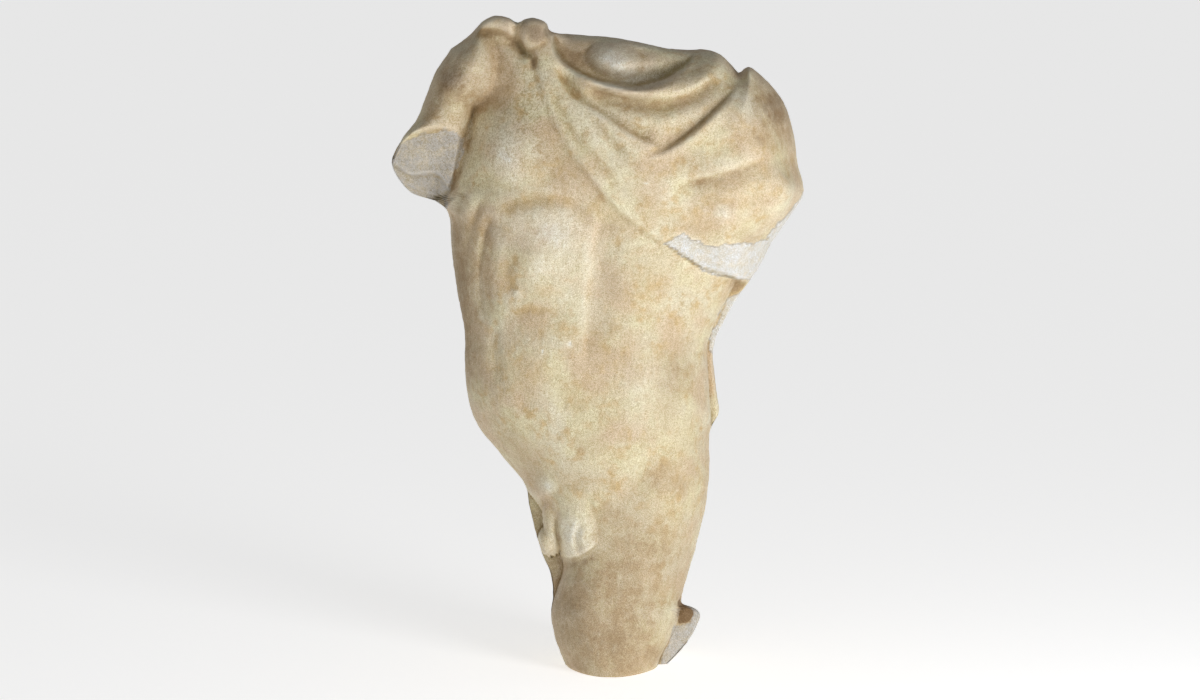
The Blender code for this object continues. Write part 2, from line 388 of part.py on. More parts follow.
# Bare shoulder blade and seat on one side, and the cloak in long hanging folds over the rest.
def back_form(x, w):
    back, seat, foot = BACK_DEPTH / PERCENT, SEAT_DEPTH / PERCENT, CALF_DEPTH / PERCENT
    muscle, fold = MUSCLE_RELIEF / PERCENT, FOLD_DEPTH / PERCENT
    bare = [(0.95 * foot, -12), (foot, 4), (0.98 * foot, 16), (0.8 * seat, 26), (seat, 38),
            (0.8 * seat, 49), (0.78 * back, 58), (back, 76), (0.9 * back, 86), (0.68 * back, 94),
            (0.4 * back, 101)]
    b = section(x, w, (SEAT_LEFT, TRUNK_RIGHT), bare)
    b = union(b, 9.0 * swelling(x, w, (-24.6, 84.7), (9.6, 14.0), turn=28, power=0.7) - 1.0, 2.6)
    covered = 12.5 * swelling(x, w, (19.1, 78.9), (12.6, 18.5), turn=8, power=0.5) - 2
    b = union(b, covered, 2.4)
    b = b + 2.0 * muscle * swelling(x, w, (-18.5, 81.9), (6.0, 9.0))
    b = b + 2.0 * muscle * swelling(x, w, (-16.0, 37.6), (8.0, 8.5))
    # line, share of muscle or fold, width on its left and right hand, fade at its ends
    bare_lines = (
        ([(-21.2, 87.1), (-21.8, 81.9), (-20.6, 75.8), (-18.5, 71.8)], 0.9, 0.9, 1.6, (0.3, 0.3)),
        ([(-20.9, 66.9), (-18.5, 61.8), (-17.3, 56.0)], 0.6, 1.0, 1.6, (0.3, 0.4)),
        ([(-19.4, 45.0), (-17.3, 46.5), (-14.2, 46.8)], 0.6, 0.8, 1.2, (0.3, 0.3)),
        ([(-18.8, 31.2), (-15.4, 29.4), (-12.4, 28.8)], 0.8, 0.8, 1.4, (0.2, 0.2)),
    )
    for points, share, left, right, fade in bare_lines:
        b = b + groove(x, w, points, share * muscle, left, right, fade)
    drape = [(1.1 * foot, -12), (1.16 * foot, 4), (1.25 * foot, 20), (1.02 * seat, 38),
             (0.96 * back, 58), (1.1 * back, 78), (0.8 * back, 93), (0.5 * back, 101)]
    cloak = section(x, w, (SEAT_LEFT, CLOAK_BACK_RIGHT), drape, 2.6)
    hanging = (
        ([(-9.9, 94.1), (-11.1, 71.2), (-8.7, 49.8), (-6.3, 28.5), (-4.7, -2.1)], 1.5, 1.2, 2.2,
         (0.2, 0.05)),
        ([(-2.0, 92.6), (-6.0, 71.2), (-5.3, 49.8), (-3.5, 28.5), (-2.6, -2.1)], -0.7, 1.2, 1.2,
         (0.3, 0.08)),
        ([(4.1, 91.1), (-1.4, 71.2), (-2.0, 49.8), (-1.1, 28.5), (-0.2, -2.1)], 1.3, 2.0, 1.0,
         (0.2, 0.08)),
        ([(9.0, 91.1), (2.9, 71.2), (0.8, 49.8), (1.1, 28.5), (1.4, -2.1)], -0.8, 1.0, 1.0,
         (0.3, 0.08)),
        ([(14.2, 88.0), (8.1, 68.2), (4.4, 49.8), (3.5, 28.5), (3.5, -2.1)], 1.5, 1.3, 2.2,
         (0.2, 0.08)),
        ([(19.4, 85.0), (13.3, 65.1), (7.8, 48.3), (6.0, 28.5), (5.3, -2.1)], -0.7, 1.2, 1.2,
         (0.3, 0.08)),
        ([(23.7, 80.4), (16.6, 62.1), (10.8, 46.8), (8.7, 28.5), (7.2, -2.1)], 1.3, 2.0, 1.2,
         (0.2, 0.08)),
        ([(-8.1, 94.7), (-0.5, 88.9), (8.4, 88.3), (17.3, 91.7)], 1.0, 1.0, 1.8, (0.2, 0.2)),
        ([(-9.9, 91.1), (-2.0, 83.7), (7.2, 82.2), (19.4, 86.5)], 0.7, 1.0, 1.8, (0.2, 0.2)),
    )
    for points, share, left, right, fade in hanging:
        cloak = cloak + groove(x, w, points, share * fold, left, right, fade)
    side = [(-20.6, 98.7), (-20.0, 89.5), (-17.6, 78.9), (-16.6, 71.2), (-14.8, 61.8), (-14.2, 52.9),
            (-12.1, 45.0), (-11.5, 37.6), (-12.1, 31.5), (-11.5, 25.4), (-10.8, 16.3), (-9.9, 8.6),
            (-7.8, -5.1)]
    covers = inside(x, w, side + [(43.8, -5.1), (43.8, 101.8), (-20.6, 101.8)], 1.1)
    return b + covers * np.maximum(cloak + BACK_CLOAK_THICKNESS / PERCENT - b, 0)


# How far in front of the mid plane the outline lies: behind it at the neck, at the broken arm,
# along the cloak that hangs behind the flank, at the foot of the fragment and beside the genitals,
# and before it on top of the near shoulder.
def edge_depth(x, w):
    neck = smooth((w - 84) / 10) * smooth((x + 9.5) / 3) * smooth((17 - x) / 4)
    arm = np.exp(-((x + 30)**2 / 30 + (w - 74)**2 / 60))
    flank = np.exp(-((x - 17)**2 / 14 + (w - 50)**2 / 160))
    foot = np.exp(-((x - 12)**2 / 6 + (w - 7)**2 / 12))
    rear = np.exp(-((x + 12)**2 / 6 + (w - 18)**2 / 60))
    shoulder = np.exp(-((x + 15)**2 / 36 + (w - 98)**2 / 40)) * smooth((-8 - x) / 3)
    return -4.2 * neck - 1.8 * arm - 3.6 * flank - 3.6 * foot - 0.8 * rear + 2.8 * shoulder


# Distance to the outline on the picture plane.
def edge_distance(x, w):
    loop = np.vstack([curve(LEFT_EDGE), curve(TOP_EDGE)[1:], curve(RIGHT_EDGE)[::-1][1:]])
    least = np.full(x.shape, 1e9)
    for start, step in zip(loop[:-1], np.diff(loop, axis=0)):
        dx, dw = x - start[0], w - start[1]
        t = np.clip((dx * step[0] + dw * step[1]) / max(step @ step, 1e-9), 0, 1)
        least = np.minimum(least, np.hypot(dx - t * step[0], dw - t * step[1]))
    return least


# How tight the edge is: 0 where the form rolls over the outline, 1 at a broken or thin edge. Breaks
# seen from the front only count for the front.
def edge_tightness(x, w, side):
    # centre, squared reach across and up, share
    spots = [((8, 98), 260, 30, 1.0), ((-12, 99), 9, 6, 1.0), ((-32, 78), 16, 60, 0.6),
             ((-28, 71), 40, 14, 0.9), ((26, 70), 14, 60, 0.5), ((-18, 98), 60, 10, 0.5),
             ((20, 92), 8, 8, 0.4)]
    if side > 0:
        spots += [((-11.5, 19.5), 34, 46, 1.0), ((12, 7), 10, 16, 1.0), ((17, 50), 14, 90, 1.0)]
    total = 0
    for centre, across, up, share in spots:
        total = total + share * np.exp(-((x - centre[0])**2 / across + (w - centre[1])**2 / up))
    return np.clip(total, 0, 1)


# A depth brought down to the outline's own depth over a rounded edge: a dome that rises with the
# root of the distance from the outline, and a wall added to it where the edge is tight.
def rounded(depth, x, w, side):
    edge, far = side * edge_depth(x, w), edge_distance(x, w)
    tight = edge_tightness(x, w, side)
    dome = (1.45 - 0.5 * tight) * np.sqrt(2 * EDGE_RADIUS / PERCENT * far)
    dome = dome + (0.5 + 9.0 * tight**2) * far
    return edge + cut(np.maximum(depth - edge, 0.0), dome, 3.5 - 2.3 * tight)


# Sheet of points (across, up, depth towards the front) for one side of the figure. Rows run
# level at the foot and bend to follow the broken top.
def sheet(columns, side):
    v = np.linspace(0, 1, ROWS + 1)[:, None]
    u = np.linspace(0, 1, columns + 1)[None, :]
    share = 0.55 * (1 - np.cos(np.pi * u)) / 2 + 0.45 * u
    left_top, right_top = TOP_EDGE[0][1], TOP_EDGE[-1][1]
    left, right = across_at(LEFT_EDGE, v * left_top), across_at(RIGHT_EDGE, v * right_top)
    x = left * (1 - share) + right * share
    chord = left_top + (right_top - left_top) * share
    w = v * chord + v**5 * (up_at(TOP_EDGE, x) - chord)
    form = front_form if side > 0 else back_form

    def depth_of(x, w):
        return side * rounded(form(x, w), x, w, side)

    # the underside is level: its rim is lowered on the plane by as much as it stands forward
    rim = depth_of(x[:1], w[:1])
    rim = depth_of(x[:1], -rim * SIN_TILT)
    w = w - (1 - v)**8 * rim * SIN_TILT
    depth = depth_of(x, w)
    depth[:, [0, -1]] = edge_depth(x, w)[:, [0, -1]]
    depth[0] = -w[0] / SIN_TILT
    half_edge = side * EDGE_THICKNESS / PERCENT / 2
    depth[-1, 1:-1] = edge_depth(x, w)[-1, 1:-1] + half_edge
    return np.stack([x, w, depth], axis=-1)


# Faces between two chains of vertices that run the same way and share their ends.
def stitch(one, other, flip):
    faces, i, j = [], 0, 0
    last, final = len(one) - 1, len(other) - 1
    while i < last or j < final:
        if j == final or (i < last and (i + 1) * final <= (j + 1) * last):
            face, i = (one[i], one[i + 1], other[j]), i + 1
        else:
            face, j = (one[i], other[j + 1], other[j]), j + 1
        if len(set(face)) == 3:
            faces.append(face[::-1] if flip else face)
    return faces


# One closed surface: rings that run over the front sheet and back over the back sheet, with the
# level underside and the narrow top edge filled in.
def build_mesh():
    front, back = sheet(FRONT_COLUMNS, 1), sheet(BACK_COLUMNS, -1)
    rings = np.concatenate([front, back[:, -2:0:-1]], axis=1)
    x, w, depth = rings[..., 0], rings[..., 1], rings[..., 2]
    z = (w + depth * SIN_TILT) / COS_TILT
    points = np.stack([x, -depth, z], axis=-1) * PERCENT
    points *= FIGURE_HEIGHT / points[..., 2].max()
    points[0, :, 2] = 0
    index = np.arange(x.size).reshape(x.shape)
    after = np.roll(index, -1, axis=1)
    quads = np.stack([index[:-1], after[:-1], after[1:], index[1:]], axis=-1)
    faces = quads.reshape(-1, 4).tolist()
    for row, flip in ((index[0], True), (index[-1], False)):
        fore = list(row[:FRONT_COLUMNS + 1])
        aft = [row[0]] + list(row[FRONT_COLUMNS:][::-1])
        faces += stitch(fore, aft, flip)
    mesh = bpy.data.meshes.new("torso")
    mesh.from_pydata(points.reshape(-1, 3).tolist(), [], faces)
    return mesh


def marble():
    material = bpy.data.materials.new("marble")
    material.use_nodes = True
    shader = material.node_tree.nodes["Principled BSDF"]
    shader.inputs["Base Color"].default_value = (0.72, 0.62, 0.46, 1)
    shader.inputs["Roughness"].default_value = 0.6
    return material


for old in list(bpy.data.objects):
    bpy.data.objects.remove(old, do_unlink=True)

torso = bpy.data.objects.new("torso", build_mesh())
torso.data.materials.append(marble())
bpy.context.scene.collection.objects.link(torso)
fine_triangles = sum(len(face.vertices) - 2 for face in torso.data.polygons)
lighter = torso.modifiers.new("fewer triangles", "DECIMATE")
lighter.ratio = MOST_TRIANGLES / fine_triangles
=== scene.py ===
import bpy
import numpy as np
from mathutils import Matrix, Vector


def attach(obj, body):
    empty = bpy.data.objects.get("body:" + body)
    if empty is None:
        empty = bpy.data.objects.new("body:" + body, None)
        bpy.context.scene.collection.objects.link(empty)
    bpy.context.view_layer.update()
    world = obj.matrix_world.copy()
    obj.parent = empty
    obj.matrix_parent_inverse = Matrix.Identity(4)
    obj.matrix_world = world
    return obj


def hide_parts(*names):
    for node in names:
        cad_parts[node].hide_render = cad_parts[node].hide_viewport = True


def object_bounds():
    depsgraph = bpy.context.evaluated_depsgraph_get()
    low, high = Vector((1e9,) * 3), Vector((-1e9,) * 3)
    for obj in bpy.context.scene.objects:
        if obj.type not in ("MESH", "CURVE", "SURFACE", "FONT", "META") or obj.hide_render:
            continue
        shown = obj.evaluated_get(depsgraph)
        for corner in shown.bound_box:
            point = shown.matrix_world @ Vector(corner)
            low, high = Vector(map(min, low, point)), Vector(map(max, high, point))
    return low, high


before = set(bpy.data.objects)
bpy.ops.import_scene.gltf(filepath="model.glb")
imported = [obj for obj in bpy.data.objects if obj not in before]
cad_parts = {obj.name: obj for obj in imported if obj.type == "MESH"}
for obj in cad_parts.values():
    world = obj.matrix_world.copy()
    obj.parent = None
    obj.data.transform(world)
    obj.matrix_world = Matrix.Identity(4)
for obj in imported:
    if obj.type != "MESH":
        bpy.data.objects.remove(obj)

cadLow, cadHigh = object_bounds()
print("frame loaded: the solid is %.0f mm tall" % (1000 * (cadHigh.z - cadLow.z)))

# The torso is two sheets, a front and a back, that meet along its outline. They are laid out on a
# picture plane that leans back by viewTilt. A place on the plane is (across, up) in percent of the
# figure's height, and a sheet is a depth over it, towards the viewer or away, in the same percent.
torso = dict(
    viewTilt=10.0,          # degrees
    chest=14.6, belly=13.4, thigh=10.2,     # front depths
    back=12.2, seat=12.8, foot=9.4,         # back depths
    armRadius=6.7,
    cloakThickness=0.55, backCloakThickness=1.9,
    fold=1.0,               # one main fold
    muscle=0.8,             # one main swelling of the trunk
    clasp=2.45,             # radius of the round clasp
    edgeRadius=4.6, edgeThickness=0.4,
    rows=290, frontColumns=232, backColumns=94,
    wear=0.10, grain=0.042, breakRoughness=0.13, pits=0.05,     # height of the small relief
    # its layers of noise: share, size, seed
    wearLayers=((1, 5.0, 1), (0.5, 2.2, 2)),
    grainLayers=((1, 0.8, 3),),
    breakLayers=((1, 2.4, 5), (0.6, 1.1, 6), (0.35, 0.6, 7)),
    # how the stains, painted shade and painted highlights stray, and how ragged they end behind the outline
    astrayAcross=((0.5, 1.6, 11), (0.25, 0.7, 12)),
    astrayUp=((0.5, 1.6, 13), (0.25, 0.7, 14)),
    ragged=((1.5, 3.0, 9),),
)

# the outline, and where it is split into sides
leftEdge = [(-6, -3.6), (-7.2, -0.2), (-8.5, 2.8), (-9.3, 5.9), (-9.5, 8.3), (-9.2, 10.8), (-9.6, 14.1),
            (-11, 17.5), (-11.9, 20.5), (-12.8, 24.2), (-13.6, 27.9), (-16.8, 31.8), (-20.2, 36.1),
            (-22, 40.1), (-22.7, 46.5), (-22.7, 50.6), (-23.8, 57.5), (-24.7, 64.3), (-25, 68.8),
            (-26.7, 70.8), (-30.8, 72.3), (-33, 74.9), (-33.7, 77.3), (-32.1, 80.5), (-29.9, 83.4),
            (-28.5, 86.8), (-27, 90.5), (-24.6, 94.1)]
rightEdge = [(5.3, -3.6), (7.3, -1), (9.6, 1.3), (11.9, 4), (13.1, 6.6), (13.3, 7.7), (12.5, 8.5),
             (10.8, 9.1), (10.5, 10.3), (11.6, 14.4), (12.8, 18.5), (13.9, 23.1), (14.7, 28.5),
             (14.8, 35.5), (16.2, 38.9), (15.7, 43), (15.3, 48.3), (16.6, 51.7), (19.1, 56.3), (22, 60.2),
             (24, 64.3), (26.4, 67.9), (28.5, 70.9), (29, 73.1), (28.1, 76.7), (27.6, 80.4), (26.1, 85.6),
             (23.7, 88.9)]
topEdge = [(-24.6, 94.1), (-22.7, 95.3), (-21.5, 96.3), (-19.8, 98.1), (-17.9, 99), (-16, 98.7),
           (-14.5, 97.9), (-13.3, 98.4), (-11.8, 98.5), (-10.2, 97.9), (-9.2, 96.6), (-4.4, 96.3),
           (1.7, 95.6), (7.8, 94.4), (11.5, 94), (13.9, 94.1), (16.3, 93.2), (18.2, 91.4), (19.1, 90.5),
           (20, 91.2), (21.2, 91.2), (23.7, 88.9)]
# side curves of the trunk, of the bare back and of the cloak behind it
trunkLeft = [(-6.3, -3.6), (-7.9, -0.2), (-9.2, 3.3), (-9.6, 6.3), (-9.3, 9.2), (-8.4, 12.3), (-7.6, 15.3),
             (-8.7, 18.5), (-10.2, 22.4), (-11.8, 25.1), (-13.9, 27.6), (-17.4, 31.8), (-20.8, 36.1),
             (-22.7, 40.4), (-23.5, 46.5), (-23.5, 50.6), (-24.6, 57.5), (-25.3, 64.3), (-25.5, 70.5),
             (-24.6, 73.5), (-23.1, 78.9), (-22.4, 85), (-23.1, 95.6), (-23.1, 101.8)]
seatLeft = [(-6.3, -3.6), (-8.1, -0.2), (-9.8, 2.8), (-10.5, 5.9), (-10.7, 8.3), (-10.4, 10.8),
            (-10.8, 14.1), (-12.2, 17.5), (-13.3, 20.5), (-14.2, 24.2), (-15.4, 28.2)] + trunkLeft[-13:]
trunkRight = [(6, -3.6), (6.7, -0.8), (7.9, 2.5), (9.6, 5.9), (10.5, 9.4), (12.1, 14.4), (13.3, 18.5),
              (14.4, 23.1), (15, 28.5), (15.1, 35.5), (14.8, 40.7), (14.4, 48.3), (15, 51.1), (16.5, 54.4),
              (18.5, 58.4), (21.1, 62.8), (24.3, 70), (27, 78.9), (28.1, 86.5), (28.5, 95.6), (28.5, 101.8)]
cloakBackRight = [(4.1, -5.1), (7.8, -0.8), (10.2, 1.6), (12.5, 4.3), (13.7, 7.7), (11.8, 10.2),
                  (12.4, 14.4), (13.6, 18.5), (14.8, 23.1), (15.4, 28.5), (15.6, 35.5), (16.8, 38.9),
                  (16.3, 43), (16, 48.3), (17.4, 51.7), (19.7, 56.3), (22.4, 60.2), (24.6, 64.3),
                  (27.8, 68.9), (29.8, 74.3), (28.5, 83.4), (25.5, 92.6), (24, 101.8)]
# lines on the front: hem of the cloak, upper edge of its break, rim round the broken neck
cloakHem = [(-12.2, 94.7), (-11.6, 90.3), (-9.8, 84.7), (-7.2, 79.3), (-3.7, 74.6), (0.2, 69.8),
            (4.4, 66.5), (8.1, 64), (10.8, 62.5), (13, 61), (16.2, 59.8), (20.3, 58.9), (23.1, 59.6)]
hemTear = [(7.8, 65), (9.6, 65.7), (12.1, 65.1), (15.1, 64), (18.2, 64.5), (21.7, 64.2), (24.7, 65.9),
           (27, 69.2), (29.5, 72.7)]
collarRim = [(-9.3, 96.3), (-8.7, 93.4), (-6.4, 90.9), (-3.1, 89.2), (0.8, 88.3), (3.8, 88), (7.2, 88.9),
             (9.9, 90.5), (12.1, 92.3), (13.3, 94.7)]


# Smooth curve through the points (Catmull-Rom), as rows of (across, up).
def curve(points, steps=8):
    p = np.array(points, float)
    ends = np.vstack([2 * p[0] - p[1], p, 2 * p[-1] - p[-2]])
    a, b, c, d = ends[:-3], ends[1:-2], ends[2:-1], ends[3:]
    t = np.linspace(0, 1, steps, endpoint=False)[:, None, None]
    mid = 2 * b + (c - a) * t + (2 * a - 5 * b + 4 * c - d) * t**2 + (3 * b - a - 3 * c + d) * t**3
    return np.vstack([mid.transpose(1, 0, 2).reshape(-1, 2) / 2, p[-1]])


# Where a side curve lies across, at each height.
def acrossAt(points, up):
    line = curve(points, 12)
    line = line[np.argsort(line[:, 1], kind="stable")]
    return np.interp(up, line[:, 1], line[:, 0])


# How high a top curve lies, at each place across.
def upAt(points, across):
    line = curve(points, 12)
    line = line[np.argsort(line[:, 0], kind="stable")]
    return np.interp(across, line[:, 0], line[:, 1])


# 0 to 1 with level ends.
def smooth(t):
    t = np.clip(t, 0, 1)
    return t * t * (3 - 2 * t)


# Distance to a curve, positive on the right hand of its travel, and the share along it. Beyond
# reach the distance is only known to be far.
def measure(x, w, points, reach=1e3):
    line = curve(points, 6)
    run = np.diff(line, axis=0)
    size = np.hypot(run[:, 0], run[:, 1]) + 1e-9
    begin = np.concatenate([[0], np.cumsum(size)])
    low, high = line.min(axis=0) - reach, line.max(axis=0) + reach
    close = (x > low[0]) & (x < high[0]) & (w > low[1]) & (w < high[1])
    px, pw = x[close], w[close]
    least, signed, part = np.full(px.shape, 1e9), np.full(px.shape, float(reach)), np.zeros(px.shape)
    for i, step in enumerate(run):
        dx, dw = px - line[i, 0], pw - line[i, 1]
        t = np.clip((dx * step[0] + dw * step[1]) / size[i]**2, 0, 1)
        far = np.hypot(dx - t * step[0], dw - t * step[1])
        nearer = far < least
        hand = np.where(step[0] * dw - step[1] * dx > 0, -far, far)
        least = np.where(nearer, far, least)
        signed = np.where(nearer, hand, signed)
        part = np.where(nearer, (begin[i] + t * size[i]) / begin[-1], part)
    distance, share = np.full(x.shape, float(reach)), np.zeros(x.shape)
    distance[close], share[close] = signed, part
    return distance, share


# A groove along a curve: a bell across it, with its own width on the left and right hand, fading
# out over the given shares of its length. A negative depth raises a ridge.
def groove(x, w, points, depth, left, right=None, fade=(0.25, 0.25)):
    right = left if right is None else right
    signed, share = measure(x, w, points, 3 * max(left, right))
    width = np.where(signed > 0, right, left)
    start = smooth(share / fade[0]) if fade[0] else 1.0
    end = smooth((1 - share) / fade[1]) if fade[1] else 1.0
    return -depth * np.exp(-(signed / width)**2) * start * end


# A depth with a table of grooves added: line, share of depth, width on its left and right hand, fade.
def carved(f, x, w, lines, depth):
    for points, share, left, right, fade in lines:
        f = f + groove(x, w, points, share * depth, left, right, fade)
    return f


# A swelling over an ellipse: 1 in the middle, falling to 0 at its rim.
def swelling(x, w, centre, radii, turn=0.0, power=2.0):
    c, s = np.cos(np.radians(turn)), np.sin(np.radians(turn))
    dx, dw = x - centre[0], w - centre[1]
    a, b = (dx * c + dw * s) / radii[0], (dw * c - dx * s) / radii[1]
    return np.clip(1 - a * a - b * b, 0, None)**power


# 1 inside a closed outline and 0 outside it, over a band as wide as soft.
def inside(x, w, outline, soft):
    loop = outline + [outline[0]]
    line = curve(loop, 6)
    within = np.zeros(x.shape, bool)
    for (x0, w0), (x1, w1) in zip(line[:-1], line[1:]):
        if w0 != w1:
            within ^= ((w0 > w) != (w1 > w)) & (x < x0 + (x1 - x0) * (w - w0) / (w1 - w0))
    far = np.abs(measure(x, w, loop, 4 * soft)[0])
    return smooth(0.5 + np.where(within, far, -far) / soft / 2)


# The larger of two depths, rounded over the band k where they cross.
def union(a, b, k):
    h = np.clip(0.5 + 0.5 * (a - b) / k, 0, 1)
    return b + (a - b) * h + k * h * (1 - h)


# The smaller of two depths, rounded in the same way.
def cut(a, b, k):
    return -union(-a, -b, k)


# A rounded section between two side curves, as deep at each height as the (depth, height) points
# of profile say. Beyond the side curves it lies behind everything else.
def section(x, w, sides, profile, power=2.3):
    left, right = acrossAt(sides[0], w), acrossAt(sides[1], w)
    t = np.clip(np.abs((x - (left + right) / 2) / ((right - left) / 2)), 0, 1)
    return acrossAt(profile, w) * (1 - t**power)**(1 / power) - np.where(t >= 1, 3.0, 0.0)


# Trunk: the section of a body that narrows to the waist, with chest, rib and belly swellings and
# the carved lines between them.
def trunkFront(x, w):
    chest, belly, thigh, muscle = (torso[k] for k in ("chest", "belly", "thigh", "muscle"))
    profile = [(0.9 * thigh, -12), (0.96 * thigh, 0), (1.06 * thigh, 12), (0.88 * belly, 24), (belly, 36),
               (0.97 * belly, 48), (0.9 * chest, 60), (chest, 75), (0.9 * chest, 85), (0.68 * chest, 93),
               (0.4 * chest, 101)]
    f = section(x, w, (trunkLeft, trunkRight), profile, 2.3 - 0.45 * smooth((w - 62) / 14))
    sideValley = [(-22.3, 73.1), (-23.4, 70.9), (-24, 68.5), (-24, 65.4)]
    middleValley = [(-19.4, 72.4), (-20.8, 68.9), (-21.8, 65.7), (-22.7, 62.4), (-23.1, 59.3),
                    (-22.7, 56.6)]
    frontValley = [(-17.7, 69.4), (-19.1, 66.6), (-19.7, 64), (-20.2, 61), (-20.2, 57.9), (-19.8, 54.9),
                   (-18.9, 51.4)]
    # centre, radii, turn, share of muscle
    swellings = (
        # chest muscle
        ((-15.6, 79), (8, 8), 0, 2.6),
        # upper and lower block of the belly
        ((-11.8, 61.1), (5.2, 6.2), -8, 0.9),
        ((-10.2, 61.8), (8.5, 10.5), 0, 0.6),
        ((-10.2, 47.4), (8.2, 7.6), 0, 0.9),
        # its far side, and the hip
        ((4.1, 58.2), (6.5, 9), 10, 0.7),
        ((5.6, 42.2), (7.5, 8.5), 15, 0.7),
        ((11.8, 36.9), (4, 7), 0, 0.5),
        # below the navel, near flank, inner thigh, near hip
        ((-2.6, 34.6), (8, 7), 0, 0.6),
        ((-20.3, 48.3), (3.4, 7), 0, 0.4),
        ((-2.6, 7.4), (5.5, 9), 0, 0.5),
        ((-17.3, 41.4), (4.5, 5.5), 30, 0.4),
        # soft ridges: under the lower block, and from the groin up to the hip
        ((-9.9, 39.5), (5, 2.2), -35, 0.3),
        ((4.9, 32.3), (8, 2.2), 40, 0.2),
    )
    for centre, radii, turn, share in swellings:
        f = f + share * muscle * swelling(x, w, centre, radii, turn)
    # line, share of muscle, width on its left and right hand, fade at its ends
    lines = (
        # crease between shoulder and chest, lower edge of the chest muscle
        ([(-14.5, 91.1), (-16.8, 88), (-20, 86.3), (-22.1, 84.8), (-22.7, 82.4), (-22.4, 79), (-21.7, 77),
          (-20.3, 74.7)], 1.2, 2.8, 1.2, (0.45, 0.3)),
        ([(-21.2, 76.1), (-19.1, 74), (-16, 72.7), (-11.8, 72.1)], 0.6, 1.2, 2, (0.3, 0.5)),
        # valleys between the folds of skin down the flank, each with a crisp line at its bottom
        (sideValley, 0.55, 1.1, 0.9, (0.2, 0.3)),
        (sideValley, 0.22, 0.3, 0.3, (0.2, 0.3)),
        (middleValley, 0.8, 1.5, 1.2, (0.2, 0.3)),
        (middleValley, 0.2, 0.35, 0.35, (0.2, 0.3)),
        (frontValley, 1.1, 1.9, 1.3, (0.15, 0.25)),
        (frontValley, 0.24, 0.35, 0.4, (0.15, 0.25)),
        ([(-17.4, 52.9), (-18, 50.6), (-18.2, 48.3), (-17.6, 45.3), (-17.3, 41.3)], 0.7, 0.9, 1.3,
         (0.3, 0.5)),
        # arch of the ribs, creases between the blocks
        ([(-17.9, 67.9), (-16.3, 69.7), (-14.2, 70.6), (-11.1, 71.1), (-8.1, 70.9), (-5, 69.4),
          (-2.4, 66.9)], 0.5, 1, 1.3, (0.2, 0.2)),
        ([(-14.4, 63.6), (-15.6, 61.1), (-15.9, 58.7), (-15, 56.3)], 0.4, 0.8, 1.1, (0.35, 0.25)),
        ([(-16.3, 53.8), (-12.4, 54.4), (-8.7, 54.1), (-4.4, 53.2)], 0.22, 0.7, 1, (0.25, 0.35)),
        # line down the middle: a bank on its left, a long soft slope on its right
        ([(-1.4, 70), (-2, 65.7), (-2.4, 61.8), (-2.9, 57.2), (-3.4, 52.6), (-3.8, 45.3)], 0.8, 3.2, 1,
         (0.2, 0.2)),
        # far side of the belly, waist, groin, thigh
        ([(-1.1, 52.6), (4.1, 53.5), (9, 52.9)], 0.22, 1.2, 1.2, (0.3, 0.4)),
        ([(10.8, 60.8), (9.3, 55.2), (7.8, 49.5), (7.2, 43.7), (7.5, 37.6)], 0.35, 1.6, 1.8, (0.3, 0.3)),
        ([(10.8, 47.7), (13, 48), (15.4, 47.1)], 0.3, 0.5, 0.9, (0.5, 0)),
        ([(16.3, 35.8), (12.4, 34.1), (7.5, 30.9), (3.5, 27.6), (-0.2, 24.5)], 0.5, 1.6, 2.6, (0.15, 0.3)),
        ([(0.9, 17.5), (0, 10.2), (-0.8, -0.8)], 0.2, 1.6, 2, (0.3, 0)),
        ([(4.1, 22.4), (6, 16.3), (6.3, 8.6)], 0.15, 1.8, 1.8, (0.4, 0.4)),
    )
    f = carved(f, x, w, lines, muscle)
    return f + 0.3 * muscle * swelling(x, w, (-14.4, 56.9), (1.1, 1.3))


# Arm stub: a round shoulder and a rod with a squarish section, cut by a sloping break that leaves
# two ledges.
def armStub(x, w):
    top, end = np.array((-24, 88.9)), np.array((-29, 75.8))
    along = end - top
    t = np.clip(((x - top[0]) * along[0] + (w - top[1]) * along[1]) / (along @ along), 0, 1)
    far = np.hypot(x - top[0] - t * along[0], w - top[1] - t * along[1])
    radius = torso["armRadius"] * (0.58 + 0.12 * t)      # narrowest under the shoulder
    height = 1.05 * torso["armRadius"]
    sunk = 4                                             # how far either lies behind where it ends
    squarish = np.clip(1 - (far / radius)**2.6, 0, None)**0.4
    rod = 0.4 + height * squarish - np.where(far > radius, sunk, 0)
    deltoid = 1.35 * torso["armRadius"] * swelling(x, w, (-22.3, 91.2), (5.9, 6.4), power=0.5)
    rod = union(rod, deltoid - np.where(deltoid > 0, 0, sunk), 2.4)
    # the break slopes back, gently below its crest and steeply above it, and towards the outline
    crest = [(-35, 76.7), (-33.1, 78.7), (-31.3, 80.1), (-28.5, 81.1), (-24.9, 81.6), (-21.2, 80.7)]
    below, _ = measure(x, w, crest, 20)
    slope = np.where(below > 0, 0.6, 3.0)
    face = 6.3 - slope * below - 0.4 * np.clip(-25 - x, 0, None)
    face = face + 0.5 * swelling(x, w, (-29.5, 77.6), (3.5, 2.4), turn=10)
    # upper edge of each ledge, and how far the face drops below it
    ledges = (
        ([(-34.4, 77.6), (-32.7, 76.4), (-31, 75.2), (-29.2, 75.2), (-27, 75.3), (-25.6, 74.3),
          (-24.9, 72.7), (-25.2, 70.3)], 1.1),
        ([(-31.8, 73.8), (-30.7, 73.4), (-28.5, 72.4), (-26.9, 72), (-25.8, 70.6)], 0.6),
    )
    for ledge, drop in ledges:
        below, _ = measure(x, w, ledge, 9)
        face = face - drop * smooth(below / 0.45) + groove(x, w, ledge, -0.3, 0.5, 0.3, (0.1, 0))
    return cut(rod, face, 0.35)


